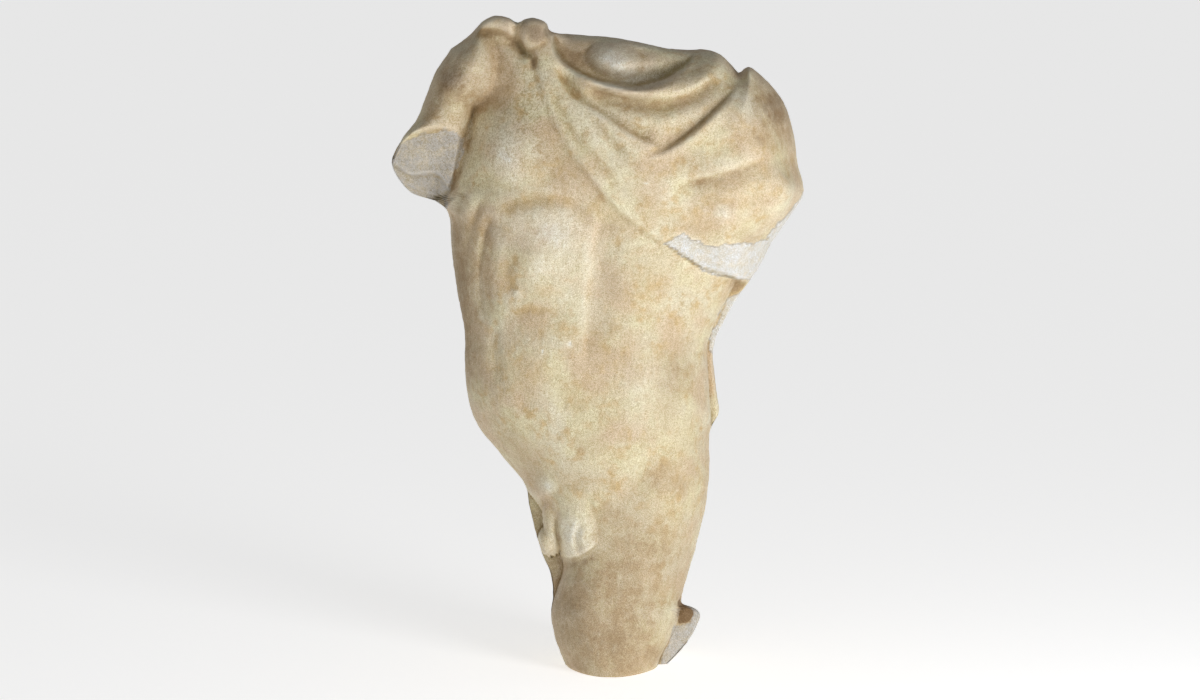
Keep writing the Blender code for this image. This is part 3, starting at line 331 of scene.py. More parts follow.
# Genitals: a soft mass that stands off the belly and ends at a low edge, and beside it, past a
# crease, a lobe made of two half ellipsoids on their own bases.
def genitals(x, w, f):
    thigh = torso["thigh"]

    # a dome on a base, and nothing beside it
    def lobe(base, height, centre, radii, turn=0.0, power=0.5):
        dome = swelling(x, w, centre, radii, turn, power)
        return np.where(dome > 0, base * thigh + height * dome, -9.0)

    nearLow = lobe(0.36, 3.4, (-9.6, 19.2), (2, 2.5))
    nearHigh = lobe(0.48, 2.6, (-9.3, 22.8), (1.5, 4.4), 6)
    lowEdge = upAt([(-9.6, 18.1), (-8.4, 17), (-7.2, 16.3), (-5.2, 16.7), (-3.4, 17.8), (-1.7, 19.6)], x)
    mass = 1.8 * swelling(x, w, (-6.3, 20.2), (4.1, 7.6), turn=6, power=1.3)
    mass = mass + 0.5 * swelling(x, w, (-7.2, 18.4), (1.8, 2.6))
    f = f + mass * smooth((w - lowEdge) / 0.5)
    f = union(f, union(nearLow, nearHigh, 1.4), 0.8)
    f = f + groove(x, w, [(-8.2, 24.8), (-8.5, 22.5), (-8.7, 20.5), (-8.1, 18.7), (-7.9, 16.9)], 0.6, 0.7,
                   0.35, (0.3, 0))
    f = f + groove(x, w, [(-4.7, 22.4), (-5.6, 20.2), (-5.5, 18.2), (-4.9, 16.7)], 0.45, 0.6, 0.5,
                   (0.3, 0.1))
    return f + groove(x, w, [(-11, 17), (-8.7, 16.4), (-6.9, 15.6), (-4.7, 16.3), (-2, 16.7)], 0.4, 0.4,
                      0.7, (0.1, 0.3))


# Cloak over chest and shoulder: a layer that ends in a low step along its hem, with long folds
# that fan out from the clasp and from the far shoulder and meet in a V on the chest.
def cloakFront(x, w, f):
    fold, thickness = torso["fold"], torso["cloakThickness"]
    shoulder = swelling(x, w, (16.6, 74.9), (15, 21), turn=20, power=0.5)
    covered = 1.1 * torso["chest"] * shoulder - 2.4
    beyond = [(33.1, 66.6), (33.1, 86.5), (27, 95.6), (13.3, 100.2), (-8.1, 100.2), (-12.1, 98.7)]
    cloaked = inside(x, w, cloakHem + beyond, 0.6)
    f = union(f, covered - 8 * (1 - cloaked), 2.2)
    layer = thickness + 0.9 * fold * swelling(x, w, (11.8, 83.1), (9, 4.2), turn=40, power=1.6)
    layer = layer + 0.9 * fold * swelling(x, w, (21.2, 83.7), (5.5, 9.5), turn=20)
    layer = layer + 0.5 * fold * swelling(x, w, (7.8, 71.8), (9, 4), turn=-30)
    # line, share of fold, width on its left and right hand, fade at its ends
    folds = (
        # band along the hem, second and third band, left arm of the V
        ([(-9.8, 88.6), (-8.5, 85.3), (-6.3, 81.3), (-3.2, 77.6), (-0.8, 74.6), (2.6, 70.8)], 0.45, 0.8,
         1.1, (0.15, 0.3)),
        ([(-8.5, 92.3), (-7.2, 88.9), (-4.4, 85.3), (-1.4, 81.3), (1.4, 78.2), (4.7, 75.5)], 0.6, 0.8, 1,
         (0.1, 0.3)),
        ([(-8.7, 91.4), (-6.3, 87.4), (-2.3, 84.7), (1.4, 82.2), (4.4, 80.5), (7.5, 79)], 1.5, 2.2, 0.55,
         (0.15, 0.2)),
        # right arm of the V, the deepest fold: a steep bank below it, a long slope above it
        ([(4.1, 77.5), (6.9, 78.4), (9.8, 80.1), (12.4, 82.1), (15, 84.5), (17.4, 86.9), (19.7, 90.2)], 2,
         3.2, 0.6, (0.34, 0)),
        # hollow under the collar rim, and the rim itself
        ([(-4.4, 88.6), (-0.8, 86.6), (2.9, 85.6), (6.9, 85.3), (10.5, 86), (13.9, 88), (16.9, 90.8)], 1.9,
         0.9, 1.6, (0.15, 0.2)),
        ([(-6.6, 91.7), (-3.2, 88.9), (0.8, 87.4), (4.4, 87.2), (8.1, 88), (11.8, 90.2), (14.8, 92.4)],
         -0.9, 0.5, 0.7, (0.3, 0.15)),
        # folds that fan out below the shoulder
        ([(7.8, 72.6), (11.1, 73.2), (15.1, 74.1), (19.1, 75.2), (22.4, 76.6), (25.5, 77.9)], 0.85, 0.7,
         1.8, (0.3, 0.3)),
        ([(11.1, 72), (15.4, 70.8), (19.4, 70.3), (23.1, 70.8), (27, 72)], 0.45, 1, 1.4, (0.3, 0.3)),
        ([(5.6, 70.2), (9, 68.2), (12.4, 66.6), (16.3, 65.7), (19.7, 65.4)], 0.15, 1, 1.4, (0.3, 0.3)),
        ([(13.3, 78.2), (16.9, 78.9), (21.2, 80.4)], 0.25, 1.4, 1.4, (0.3, 0.3)),
        ([(19.7, 89.8), (20.6, 86.5), (22.4, 81.9), (24, 77.3)], -0.3, 1.6, 1.6, (0.2, 0.4)),
    )
    layer = carved(layer, x, w, folds, fold)
    f = f + cloaked * layer + groove(x, w, cloakHem, 0.12, 0.5, 0.8, (0.1, 0.15))
    # the hem is torn away below hemTear: the break falls back, most of all at its lower edge
    below, _ = measure(x, w, hemTear)
    lowSide = [(23.1, 61.8), (21.2, 59.3), (19.5, 59), (16.2, 59.6), (13, 60.8), (10.8, 62.2), (8.1, 63.9)]
    torn = inside(x, w, hemTear[:6] + lowSide, 0.2)
    f = f - (0.35 + 0.16 * np.clip(below, 0, 6)) * torn * smooth(below / 0.3)
    outer = smooth(below / 0.5) * smooth((x - 21.8) / 1.2)      # the part past the far arm
    return f - outer * (0.3 + 0.9 * np.clip(below, 0, 3))


# Broken neck: a hollow behind the collar rim with a worn lump in it and a slit at its far end.
def neckHollow(x, w, f):
    hollow = inside(x, w, collarRim + [(14.5, 98.7), (5.6, 100.2), (-8.7, 100.2)], 0.5)
    floor = 1.4 + 0.55 * (upAt(topEdge, x) - w)
    floor = floor + 4.0 * swelling(x, w, (0.2, 92.3), (4.4, 2.9), turn=-12, power=1.1)
    floor = floor + 1.2 * swelling(x, w, (4.1, 91.7), (6, 2), turn=6)
    floor = floor + groove(x, w, [(9.6, 90.2), (11.1, 91.4), (13.3, 93.4)], 1.5, 0.3, 0.3, (0.2, 0.1))
    return f * (1 - hollow) + np.minimum(f, floor) * hollow


# Bunched cloak on the near shoulder, and the round clasp that pins it.
def claspAndBunch(x, w, f):
    fold = torso["fold"]
    f = f + 2.0 * fold * swelling(x, w, (-17.3, 97.5), (6, 3), turn=-4, power=1.2)
    f = f + groove(x, w, [(-22.7, 95), (-20.9, 96.1), (-18.8, 96.4), (-16.8, 96), (-15.4, 95),
                          (-14.2, 93.8), (-12.7, 92)], 1.1 * fold, 0.7, 1.0, (0.2, 0.15))
    rim = torso["clasp"]
    f = f + groove(x, w, [(-14.4, 98.4), (-14.7, 96), (-13.9, 93.8), (-12.1, 92.4), (-11.8, 90.2)], 0.8,
                   0.5, 0.6, (0.15, 0.2))
    disc = swelling(x, w, (-11.6, 96), (rim, rim * 1.04), power=0.5)
    return np.maximum(f, np.where(disc > 0, 7.0 + 1.9 * disc, f))


# Foot of the fragment on the right: a stub of the cloak that hangs behind the thigh, with a
# worn white face and an earthy pocket sunk into its upper end.
def cloakStub(x, w, f):
    stub = -1.6 - 0.42 * (x - 10.0)
    pocket = inside(x, w, [(9.9, 9.8), (10.8, 8.8), (11.9, 8.2), (11.8, 6.8), (11.1, 6.2), (9.3, 6.2),
                           (9, 7.7)], 0.3)
    lip = groove(x, w, [(9, 5.9), (11.5, 5.9), (12.8, 7.1)], -0.35, 0.4, 0.6, (0, 0.3))
    stub = stub - 3.2 * pocket + lip
    area = inside(x, w, [(8.4, 10.5), (10.8, 9.5), (13.9, 9.2), (15.1, 6.8), (11.8, -0.5), (5.6, -3.6),
                         (4.1, 1)], 0.3)
    return np.maximum(f, np.where(area > 0.01, stub, f))


# The whole front, built up from the trunk: each form joins those before it.
def frontForm(x, w):
    f = trunkFront(x, w)
    armpit = 4.2 * swelling(x, w, (-22.9, 79.2), (3, 9.6), turn=-15, power=0.8) - 1.0
    f = union(f, armpit, 1.0)
    f = union(f, armStub(x, w), 2.0)
    f = genitals(x, w, f)
    f = cloakFront(x, w, f)
    f = neckHollow(x, w, f)
    f = claspAndBunch(x, w, f)
    return cloakStub(x, w, f)


# Bare shoulder blade and seat on one side, and the cloak in long hanging folds over the rest.
def backForm(x, w):
    back, seat, foot, muscle, fold = (torso[k] for k in ("back", "seat", "foot", "muscle", "fold"))
    bare = [(0.95 * foot, -12), (foot, 4), (0.98 * foot, 16), (0.8 * seat, 26), (seat, 38),
            (0.8 * seat, 49), (0.78 * back, 58), (back, 76), (0.9 * back, 86), (0.68 * back, 94),
            (0.4 * back, 101)]
    b = section(x, w, (seatLeft, trunkRight), bare)
    bareShoulder = 9.0 * swelling(x, w, (-24.6, 84.7), (9.6, 14), turn=28, power=0.7) - 1.0
    coveredShoulder = 12.5 * swelling(x, w, (19.1, 78.9), (12.6, 18.5), turn=8, power=0.5) - 2
    b = union(union(b, bareShoulder, 2.6), coveredShoulder, 2.4)
    b = b + 2.0 * muscle * swelling(x, w, (-18.5, 81.9), (6, 9))      # shoulder blade
    b = b + 2.0 * muscle * swelling(x, w, (-16, 37.6), (8, 8.5))      # seat
    # line, share of muscle or fold, width on its left and right hand, fade at its ends
    bareLines = (
        ([(-21.2, 87.1), (-21.8, 81.9), (-20.6, 75.8), (-18.5, 71.8)], 0.9, 0.9, 1.6, (0.3, 0.3)),
        ([(-20.9, 66.9), (-18.5, 61.8), (-17.3, 56)], 0.6, 1, 1.6, (0.3, 0.4)),
        ([(-19.4, 45), (-17.3, 46.5), (-14.2, 46.8)], 0.6, 0.8, 1.2, (0.3, 0.3)),
        ([(-18.8, 31.2), (-15.4, 29.4), (-12.4, 28.8)], 0.8, 0.8, 1.4, (0.2, 0.2)),
    )
    b = carved(b, x, w, bareLines, muscle)
    drape = [(1.1 * foot, -12), (1.16 * foot, 4), (1.25 * foot, 20), (1.02 * seat, 38), (0.96 * back, 58),
             (1.1 * back, 78), (0.8 * back, 93), (0.5 * back, 101)]
    cloak = section(x, w, (seatLeft, cloakBackRight), drape, 2.6)
    hanging = (
        ([(-9.9, 94.1), (-11.1, 71.2), (-8.7, 49.8), (-6.3, 28.5), (-4.7, -2.1)], 1.5, 1.2, 2.2,
         (0.2, 0.05)),
        ([(-2, 92.6), (-6, 71.2), (-5.3, 49.8), (-3.5, 28.5), (-2.6, -2.1)], -0.7, 1.2, 1.2, (0.3, 0.08)),
        ([(4.1, 91.1), (-1.4, 71.2), (-2, 49.8), (-1.1, 28.5), (-0.2, -2.1)], 1.3, 2, 1, (0.2, 0.08)),
        ([(9, 91.1), (2.9, 71.2), (0.8, 49.8), (1.1, 28.5), (1.4, -2.1)], -0.8, 1, 1, (0.3, 0.08)),
        ([(14.2, 88), (8.1, 68.2), (4.4, 49.8), (3.5, 28.5), (3.5, -2.1)], 1.5, 1.3, 2.2, (0.2, 0.08)),
        ([(19.4, 85), (13.3, 65.1), (7.8, 48.3), (6, 28.5), (5.3, -2.1)], -0.7, 1.2, 1.2, (0.3, 0.08)),
        ([(23.7, 80.4), (16.6, 62.1), (10.8, 46.8), (8.7, 28.5), (7.2, -2.1)], 1.3, 2, 1.2, (0.2, 0.08)),
        ([(-8.1, 94.7), (-0.5, 88.9), (8.4, 88.3), (17.3, 91.7)], 1, 1, 1.8, (0.2, 0.2)),
        ([(-9.9, 91.1), (-2, 83.7), (7.2, 82.2), (19.4, 86.5)], 0.7, 1, 1.8, (0.2, 0.2)),
    )
    cloak = carved(cloak, x, w, hanging, fold)
    side = [(-20.6, 98.7), (-20, 89.5), (-17.6, 78.9), (-16.6, 71.2), (-14.8, 61.8), (-14.2, 52.9),
            (-12.1, 45), (-11.5, 37.6), (-12.1, 31.5), (-11.5, 25.4), (-10.8, 16.3), (-9.9, 8.6),
            (-7.8, -5.1)]
    covers = inside(x, w, side + [(43.8, -5.1), (43.8, 101.8), (-20.6, 101.8)], 1.1)
    return b + covers * np.maximum(cloak + torso["backCloakThickness"] - b, 0)


# 1 at a place, falling off around it as exp(-(distance squared / squared reach)).
def bell(x, w, centre, across, up):
    return np.exp(-((x - centre[0])**2 / across + (w - centre[1])**2 / up))


# How far in front of the mid plane the outline lies: behind it at the neck, at the broken arm,
# along the cloak that hangs behind the flank, at the foot of the fragment and beside the genitals,
# and before it on top of the near shoulder.
def edgeDepth(x, w):
    neck = smooth((w - 84) / 10) * smooth((x + 9.5) / 3) * smooth((17 - x) / 4)
    arm = bell(x, w, (-30, 74), 30, 60)
    flank = bell(x, w, (17, 50), 14, 160)
    foot = bell(x, w, (12, 7), 6, 12)
    rear = bell(x, w, (-12, 18), 6, 60)
    shoulder = bell(x, w, (-15, 98), 36, 40) * smooth((-8 - x) / 3)
    return -4.2 * neck - 1.8 * arm - 3.6 * flank - 3.6 * foot - 0.8 * rear + 2.8 * shoulder


# Distance to the outline on the picture plane: the least over its short straight runs.
def edgeDistance(x, w):
    loop = np.vstack([curve(leftEdge), curve(topEdge)[1:], curve(rightEdge)[::-1][1:]])
    least = np.full(x.shape, 1e9)
    for start, step in zip(loop[:-1], np.diff(loop, axis=0)):
        dx, dw = x - start[0], w - start[1]
        t = np.clip((dx * step[0] + dw * step[1]) / max(step @ step, 1e-9), 0, 1)
        least = np.minimum(least, np.hypot(dx - t * step[0], dw - t * step[1]))
    return least


# How tight the edge is: 0 where the form rolls over the outline, 1 at a broken or thin edge. Breaks
# seen from the front only count for the front.
def edgeTightness(x, w, side):
    # centre, squared reach across and up, share
    spots = [((8, 98), 260, 30, 1.0), ((-12, 99), 9, 6, 1.0), ((-32, 78), 24, 60, 1.0),
             ((-28, 71), 40, 14, 0.9), ((26, 70), 14, 60, 0.5), ((-18, 98), 60, 10, 0.5),
             ((20, 92), 8, 8, 0.4)]
    if side > 0:
        spots += [((-11.5, 19.5), 34, 46, 1.0), ((12, 7), 10, 16, 1.0), ((17, 50), 14, 90, 1.0)]
    total = 0
    for centre, across, up, share in spots:
        total = total + share * bell(x, w, centre, across, up)
    return np.clip(total, 0, 1)


# A depth brought down to the outline's own depth over a rounded edge: a dome that rises with the
# root of the distance from the outline, and a wall added to it where the edge is tight.
def rounded(depth, x, w, side):
    edge, far = side * edgeDepth(x, w), edgeDistance(x, w)
    tight = edgeTightness(x, w, side)
    swell = 1.45 - 0.5 * tight
    wall = 0.5 + 9.0 * tight**2
    dome = swell * np.sqrt(2 * torso["edgeRadius"] * far) + wall * far
    return edge + cut(np.maximum(depth - edge, 0.0), dome, 3.5 - 2.3 * tight)


# Sheet of points (across, up, depth towards the front) for one side. Rows run level at the foot
# and bend, by the fifth power of their share of the height, to follow the broken top.
def sheet(columns, side):
    sinTilt = np.sin(np.radians(torso["viewTilt"]))
    v = np.linspace(0, 1, torso["rows"] + 1)[:, None]
    u = np.linspace(0, 1, columns + 1)[None, :]
    crowded, even = 0.55, 0.45           # how far columns gather towards the outline, and the rest
    share = crowded * (1 - np.cos(np.pi * u)) / 2 + even * u
    leftTop, rightTop = topEdge[0][1], topEdge[-1][1]
    x = acrossAt(leftEdge, v * leftTop) * (1 - share) + acrossAt(rightEdge, v * rightTop) * share
    chord = leftTop + (rightTop - leftTop) * share
    w = v * chord + v**5 * (upAt(topEdge, x) - chord)
    form = frontForm if side > 0 else backForm

    # depth towards the front, with its edge rounded
    def depthOf(x, w):
        return side * rounded(form(x, w), x, w, side)

    # the underside is level: its rim is lowered on the plane by as much as it stands forward
    rim = depthOf(x[:1], w[:1])
    rim = depthOf(x[:1], -rim * sinTilt)
    w = w - (1 - v)**8 * rim * sinTilt
    depth = depthOf(x, w)
    depth[:, [0, -1]] = edgeDepth(x, w)[:, [0, -1]]
    depth[0] = -w[0] / sinTilt
    depth[-1, 1:-1] = edgeDepth(x, w)[-1, 1:-1] + side * torso["edgeThickness"] / 2
    return np.stack([x, w, depth], axis=-1)


# Gradient noise in space, about -1 to 1: random slopes at the corners of a cubic lattice, blended
# by the quintic 6t^5 - 15t^4 + 10t^3. One lattice cell is as wide as size.
def noise(p, size, seed):
    lattice = 32                         # cells before it repeats
    slopes = np.random.default_rng(seed).normal(size=(lattice, lattice, lattice, 3))
    q = p / size
    cell = np.floor(q).astype(int)
    t = q - cell
    s = t**3 * (t * (6 * t - 15) + 10)
    total = np.zeros(p.shape[:-1])
    for corner in np.ndindex(2, 2, 2):
        i = (cell + corner) % lattice
        weight = np.prod(np.where(np.array(corner) == 1, s, 1 - s), axis=-1)
        total += weight * np.sum(slopes[i[..., 0], i[..., 1], i[..., 2]] * (t - corner), axis=-1)
    return 0.9 * total


# Noise added up from layers of (share, size, seed).
def layered(p, layers):
    return sum(share * noise(p, size, seed) for share, size, seed in layers)


# Mean over a square of cells around each cell: round the ring, and up to the ends along it.
def blurred(a, reach):
    rows = np.pad(a, ((reach, reach), (0, 0), (0, 0)), mode="edge")
    total = sum(rows[k:k + len(a)] for k in range(2 * reach + 1)) / (2 * reach + 1)
    return sum(np.roll(total, k, axis=1) for k in range(-reach, reach + 1)) / (2 * reach + 1)


# Outward unit normals of a grid of points whose columns close into a ring: the cross product of
# the step round the ring and the step up.
def normalsOf(p):
    roundStep = np.roll(p, -1, axis=1) - np.roll(p, 1, axis=1)
    upStep = np.gradient(p, axis=0)
    n = np.cross(roundStep, upStep)
    return n / (np.linalg.norm(n, axis=-1, keepdims=True) + 1e-12)


# Where the surface is broken: share and outline. 1 is fresh and white, less is older and greyer; the arm's
# break is greyer also as painted shade.
brokenAreas = (
    (0.72, [(-34.7, 77.6), (-32.8, 78.9), (-31.3, 80.1), (-29.5, 81), (-27.3, 81.3), (-24.9, 81.6),
            (-23.1, 80.7), (-22.7, 78.9), (-23.7, 76.3), (-24.6, 73.4), (-25.2, 69.8), (-27.9, 70),
            (-31.3, 71.5), (-34, 74.3)]),
    (1, [(7.5, 64.7), (10.7, 65.6), (12.4, 64.7), (15.3, 63.9), (17.7, 64.3), (20.2, 64.5), (21.8, 64.8),
         (24, 64.8), (23.4, 61.8), (21.2, 59.2), (18.9, 59.2), (16.2, 59.5), (13.6, 60.4), (11.9, 61.8),
         (9.5, 63)]),
    (1, [(29.8, 73.4), (28.1, 71.2), (25.8, 68.2), (23.1, 64.8), (24.9, 63.3), (29.5, 67.2)]),
    (0.95, [(17.4, 56), (19.4, 57.2), (23.1, 59.6), (21.2, 56), (18.2, 51.7), (16.3, 48.3), (14.8, 48),
            (14.8, 49.8), (15.4, 51.7)]),
    (0.82, [(11.8, 8.9), (14.2, 8.3), (13.6, 5.3), (11.1, 2.2), (7.8, -1.5), (6.4, -1.5), (7.8, 1.9),
            (8.9, 4), (9.3, 5.9), (11.5, 6.2), (12.1, 7.7)]),
)
# brown earth in the pores, and painted shade in creases, folds and on the near flank: points, width and
# strength of each stroke
soilAndShadeStrokes = (
    ([(-21.8, 96), (-19.2, 96.7), (-16.9, 96.3), (-15.4, 95.3), (-13.9, 93.2), (-12.8, 92.3)], 0.9, 0.8),
    # painted shade: in the crease between shoulder and chest, and down the armpit
    ([(-13.9, 91.7), (-16.8, 87.7), (-20, 86.2), (-22.1, 84.7), (-22.7, 82.5), (-22.9, 78.9),
      (-21.8, 75.8)], 1.3, 0.55),
    ([(-23.1, 82.5), (-23.8, 78.9), (-24.1, 74.9), (-24.9, 70.3)], 0.9, 1),
    ([(-12.1, 94.1), (-11.9, 92.3), (-11.8, 90.2)], 0.7, 0.9),
    # painted shade: along the near flank, in the valleys of its skin and beside the middle line
    ([(-23.4, 71.8), (-24.3, 65.1), (-23.5, 56), (-22.7, 48.3), (-21.2, 40.7)], 2.4, 0.9),
    ([(-17.3, 68.5), (-18.8, 65.1), (-19.4, 61.8), (-19.5, 57.5), (-18.9, 53.2)], 1.2, 0.8),
    ([(-19.1, 71.2), (-20.6, 67.2), (-21.8, 63.6), (-22.3, 59)], 0.8, 0.5),
    ([(-1.1, 66.3), (-1.4, 61.8), (-2, 56.6), (-2.4, 51.4), (-3.2, 46.8)], 1.3, 0.2),
    ([(11.8, 51.4), (9.3, 46.8), (7.8, 40.7), (8.4, 36.1)], 1.8, 0.3),
    # painted shade on the near side of the thigh
    ([(-8.1, 13.2), (-8.1, 7.1), (-6.9, 1)], 1.6, 0.45),
    ([(2.6, 22.4), (4.1, 16.3), (3.5, 10.2), (4.7, 2.5)], 2, 0.35),
    ([(-17.3, 36.4), (-13.3, 31.2), (-9.9, 27.9)], 1.6, 0.35),
    # painted shadow under the genitals
    ([(-9.3, 16.3), (-7.2, 15.5), (-4.4, 16), (-2, 17.8)], 0.8, 0.6),
    # painted shade in the trough under the collar rim and in the folds of the cloak
    ([(-2, 85.7), (2.6, 85), (7.2, 85), (12.4, 86.8)], 0.9, 0.4),
    ([(5.3, 77.9), (9.9, 80.1), (15, 84), (18, 88)], 0.8, 0.5),
    ([(10.2, 73.1), (15.1, 74.3), (22, 76.3)], 0.7, 0.5),
    ([(-7.8, 78.5), (-3.5, 73.4), (-0.5, 69.7), (4.1, 65.1)], 0.9, 0.45),
    # painted shade in the crease beside the genitals
    ([(-8.2, 24.5), (-8.5, 21.6), (-8.4, 18.5)], 0.6, 0.5),
    ([(-7.2, 89.8), (-3.2, 87.9), (4.4, 87.2), (11.8, 89.7)], 1.1, 0.94),
)
# and centre, radii, turn and strength of each spot
soilAndShadeSpots = (
    ((-24.4, 89.1), (4.2, 4), 0, 1.22), ((-0.2, 66.9), (2.4, 2), 0, 0.65), ((0, 58.1), (2, 3), 0, 0.3),
    ((-0.9, 51.7), (1.6, 2.4), 0, 0.3), ((9.6, 44.3), (3.4, 4), 20, 0.55),
    ((-3.8, 33.8), (3, 2.6), 0, 0.4), ((21.2, 80.4), (3, 1.6), -20, 0.6), ((22, 79.9), (1.2, 0.9), 0, 0.8),
    ((22.7, 85.3), (0.5, 0.4), 0, 1), ((6.4, 1.8), (2, 1.6), 30, 0.7), ((11, 8.2), (1.8, 2.6), 0, 2.2),
    ((20.9, 65.1), (3, 2), -15, 0.4), ((27, 74.3), (2, 4), 0, 0.35), ((24.4, 83.4), (1.6, 3), 20, 0.4),
    ((-17.6, 86.2), (3, 2.6), 0, 0.4), ((-12.4, 78.5), (4, 4), 0, 0.3), ((-5.8, 29.1), (4, 3), 0, 0.3),
    # the last spot here and those of the next line darken the thigh, most towards its foot; on its near
    # side this is painted shade
    ((-5, 17.9), (1.2, 1), 0, 0.9), ((-10.1, 78.5), (2.4, 2.4), 0, 0.35), ((-0.2, 5.6), (10, 13), 0, 0.9),
    ((-6.3, 8.6), (5, 11), 0, 0.75), ((1.4, 17.8), (9, 9), 20, 0.6), ((9, 16.3), (4, 9), 0, 0.4),
    # the last two spots here: painted shade in the trough of the cloak
    ((6.3, 28.2), (5, 3), 40, 0.5), ((13.3, 75.5), (6, 3), -30, 0.3), ((4.1, 71.8), (5, 3), -30, 0.2),
    ((24.6, 85), (5.5, 8), 20, 1.05), ((-11.5, 96), (3.6, 3.4), 0, 1.2),
    # the last spot here: painted shade on the shoulder
    ((-6.3, 92.6), (3.4, 3), -10, 0.7), ((-5, 92.9), (4, 3), 0, 0.9), ((-19.7, 89.8), (6, 7), 0, 0.7),
    # the middle spot here: painted shade along the near flank
    ((-27, 85), (4, 6), 0, 0.45), ((-23.1, 56), (3.4, 16), 0, 0.9), ((-26.4, 91.1), (7, 9), 30, 0.5),
    # the first spot here: painted shade under the collar rim; the last darkens the foot of the thigh
    ((4.1, 86.2), (10, 2.4), 0, 0.2), ((18.6, 58.1), (1.6, 1.2), 0, 0.9), ((-0.8, 2.2), (7, 4), 0, 0.5),
    ((-0.2, 23.6), (2.6, 2), 0, 0.5), ((6.9, 18.1), (1.6, 2.4), 30, 0.5),
    ((10.2, 27.6), (2.6, 1.6), 0, 0.4), ((5.3, 10.2), (2.4, 3), 0, 0.4),
)
# yellow brown, as iron leaves it
ochreStrokes = (
    ([(-17.6, 68.2), (-16.2, 69.5), (-14.2, 70.5), (-11.1, 71.1), (-7.8, 70.8), (-5.3, 69.5)], 1, 0.9),
    ([(-16.6, 54), (-14.2, 54.3), (-10.5, 54.3), (-7.2, 53.5)], 0.6, 1),
    ([(-14.2, 63), (-15.4, 60.2), (-15.4, 58.1), (-14.5, 56.6)], 0.8, 0.8),
    ([(-3.5, 71.2), (-1.7, 69.1), (-0.2, 67.2)], 1, 0.6),
    ([(13.3, 63.6), (16.6, 58.4), (15.1, 54.4)], 1.6, 0.5),
    ([(9.6, 34.6), (8.4, 25.4), (7.8, 16.3)], 2.4, 0.4),
    ([(4.1, 70.3), (10.2, 68.5), (16.9, 66.3)], 0.9, 0.5),
    ([(13.3, 71.8), (19.4, 72.4), (25.5, 73.7)], 1.6, 0.5),
)
ochreSpots = (
    ((-13.4, 70.2), (2.4, 1.4), 0, 0.9), ((-16.3, 60.5), (1.2, 1.6), 0, 0.8),
    ((-9.8, 57.3), (3, 1.2), -10, 0.7), ((-7.6, 51.2), (2.4, 1.6), 0, 0.8), ((-11.1, 45), (3, 2), 0, 0.4),
    ((-5.8, 40.7), (3, 3), 0, 0.4), ((20.6, 61.8), (2, 1.6), 0, 0.8), ((18.6, 57.5), (2.4, 2), 0, 0.7),
    ((21.7, 80.1), (3.4, 2), -20, 0.7), ((-8.1, 86.8), (3, 4), 30, 0.4),
    ((-21.8, 83.7), (1.6, 2.4), 0, 0.6), ((-28.7, 80.4), (3.6, 1.2), 35, 0.6), ((4.1, 59), (4, 5), 0, 0.3),
    ((6.4, 1.8), (2.4, 2.2), 30, 0.6), ((-2.7, 86.5), (4, 2.6), -40, 0.4),
)
# worn or bruised, nearly white, and painted highlights on the chest, the belly, the lump in the neck hollow
# and the genitals
paleAndHighlightSpots = (
    # painted highlights on the chest muscle
    ((-16.3, 77.2), (3, 1.4), -40, 0.6), ((-16.3, 79.2), (3, 4), 10, 0.45),
    # the last two spots here: painted highlights on the belly's upper block and the knob below it
    ((16.6, 69.2), (2, 1.3), 0, 0.7), ((-11.1, 60.8), (2, 2.6), 0, 0.45), ((-14.4, 56.9), (1, 1), 0, 0.6),
    ((-6.6, 49.2), (0.7, 0.6), 0, 0.9), ((-10.7, 48), (0.4, 0.5), 0, 1), ((4.7, 73.5), (0.7, 0.5), 0, 1),
    ((-2, 80.4), (2, 4), 45, 0.3), ((-9.9, 27.7), (1.8, 1.4), -40, 0.7),
    ((-8.1, 37.6), (1.6, 3.4), -30, 0.4), ((-9.9, 41), (3, 2), -30, 0.35), ((16.3, 75.8), (3, 3), 0, 0.2),
    # the last spot here and the first of the line after: painted highlight on the lump in the neck hollow;
    # the last spot of that line: painted highlight on the genitals
    ((19.7, 85.9), (1.8, 4), 20, 0.5), ((4.4, 37.6), (4, 3), 0, 0.3), ((-0.2, 92.3), (5, 3), -10, 0.8),
    ((2.6, 89.4), (6, 2.2), 6, 0.8), ((-6.1, 20.5), (4.4, 5.4), 0, 0.72),
    # painted light on the middle of the belly: the first two spots here, the second of the next line and
    # the first of the line after
    ((-10.5, 66.6), (8, 4.4), 0, 0.65), ((-8.1, 63.6), (3, 5), 0, 0.35), ((4.1, 63.6), (4, 2.4), 30, 0.3),
    ((-13.4, 74), (7, 2), -20, 0.3), ((-5.3, 60.2), (9, 10), 0, 0.35), ((-17.3, 65.1), (1.4, 4), 10, 0.35),
    ((4.1, 43.1), (6, 5), 0, 0.35), ((11.8, 64.2), (3, 1.6), -20, 0.5),
)

# coarser grain, where the crystals were left rough
coarseSpots = (((-16.5, 84.7), (13, 13), 0, 1.0), ((-26.4, 85), (8, 11), 20, 0.8),
               ((4.1, 85), (14, 9), 0, 0.5), ((-0.5, 10.2), (12, 14), 0, 0.4))


# Strokes and spots laid over each other: the clear part that each leaves is multiplied up.
def strokesAndSpots(x, w, strokes, spots):
    clear = np.ones(x.shape)
    for points, width, strength in strokes:
        clear *= 1 - groove(x, w, points, -strength, width, width, (0.2, 0.2))
    for centre, radii, turn, strength in spots:
        clear *= 1 - strength * swelling(x, w, centre, radii, turn, 1.2)
    return np.clip(1 - clear, 0, 1.3)      # past 1 where spots are meant to be darkest


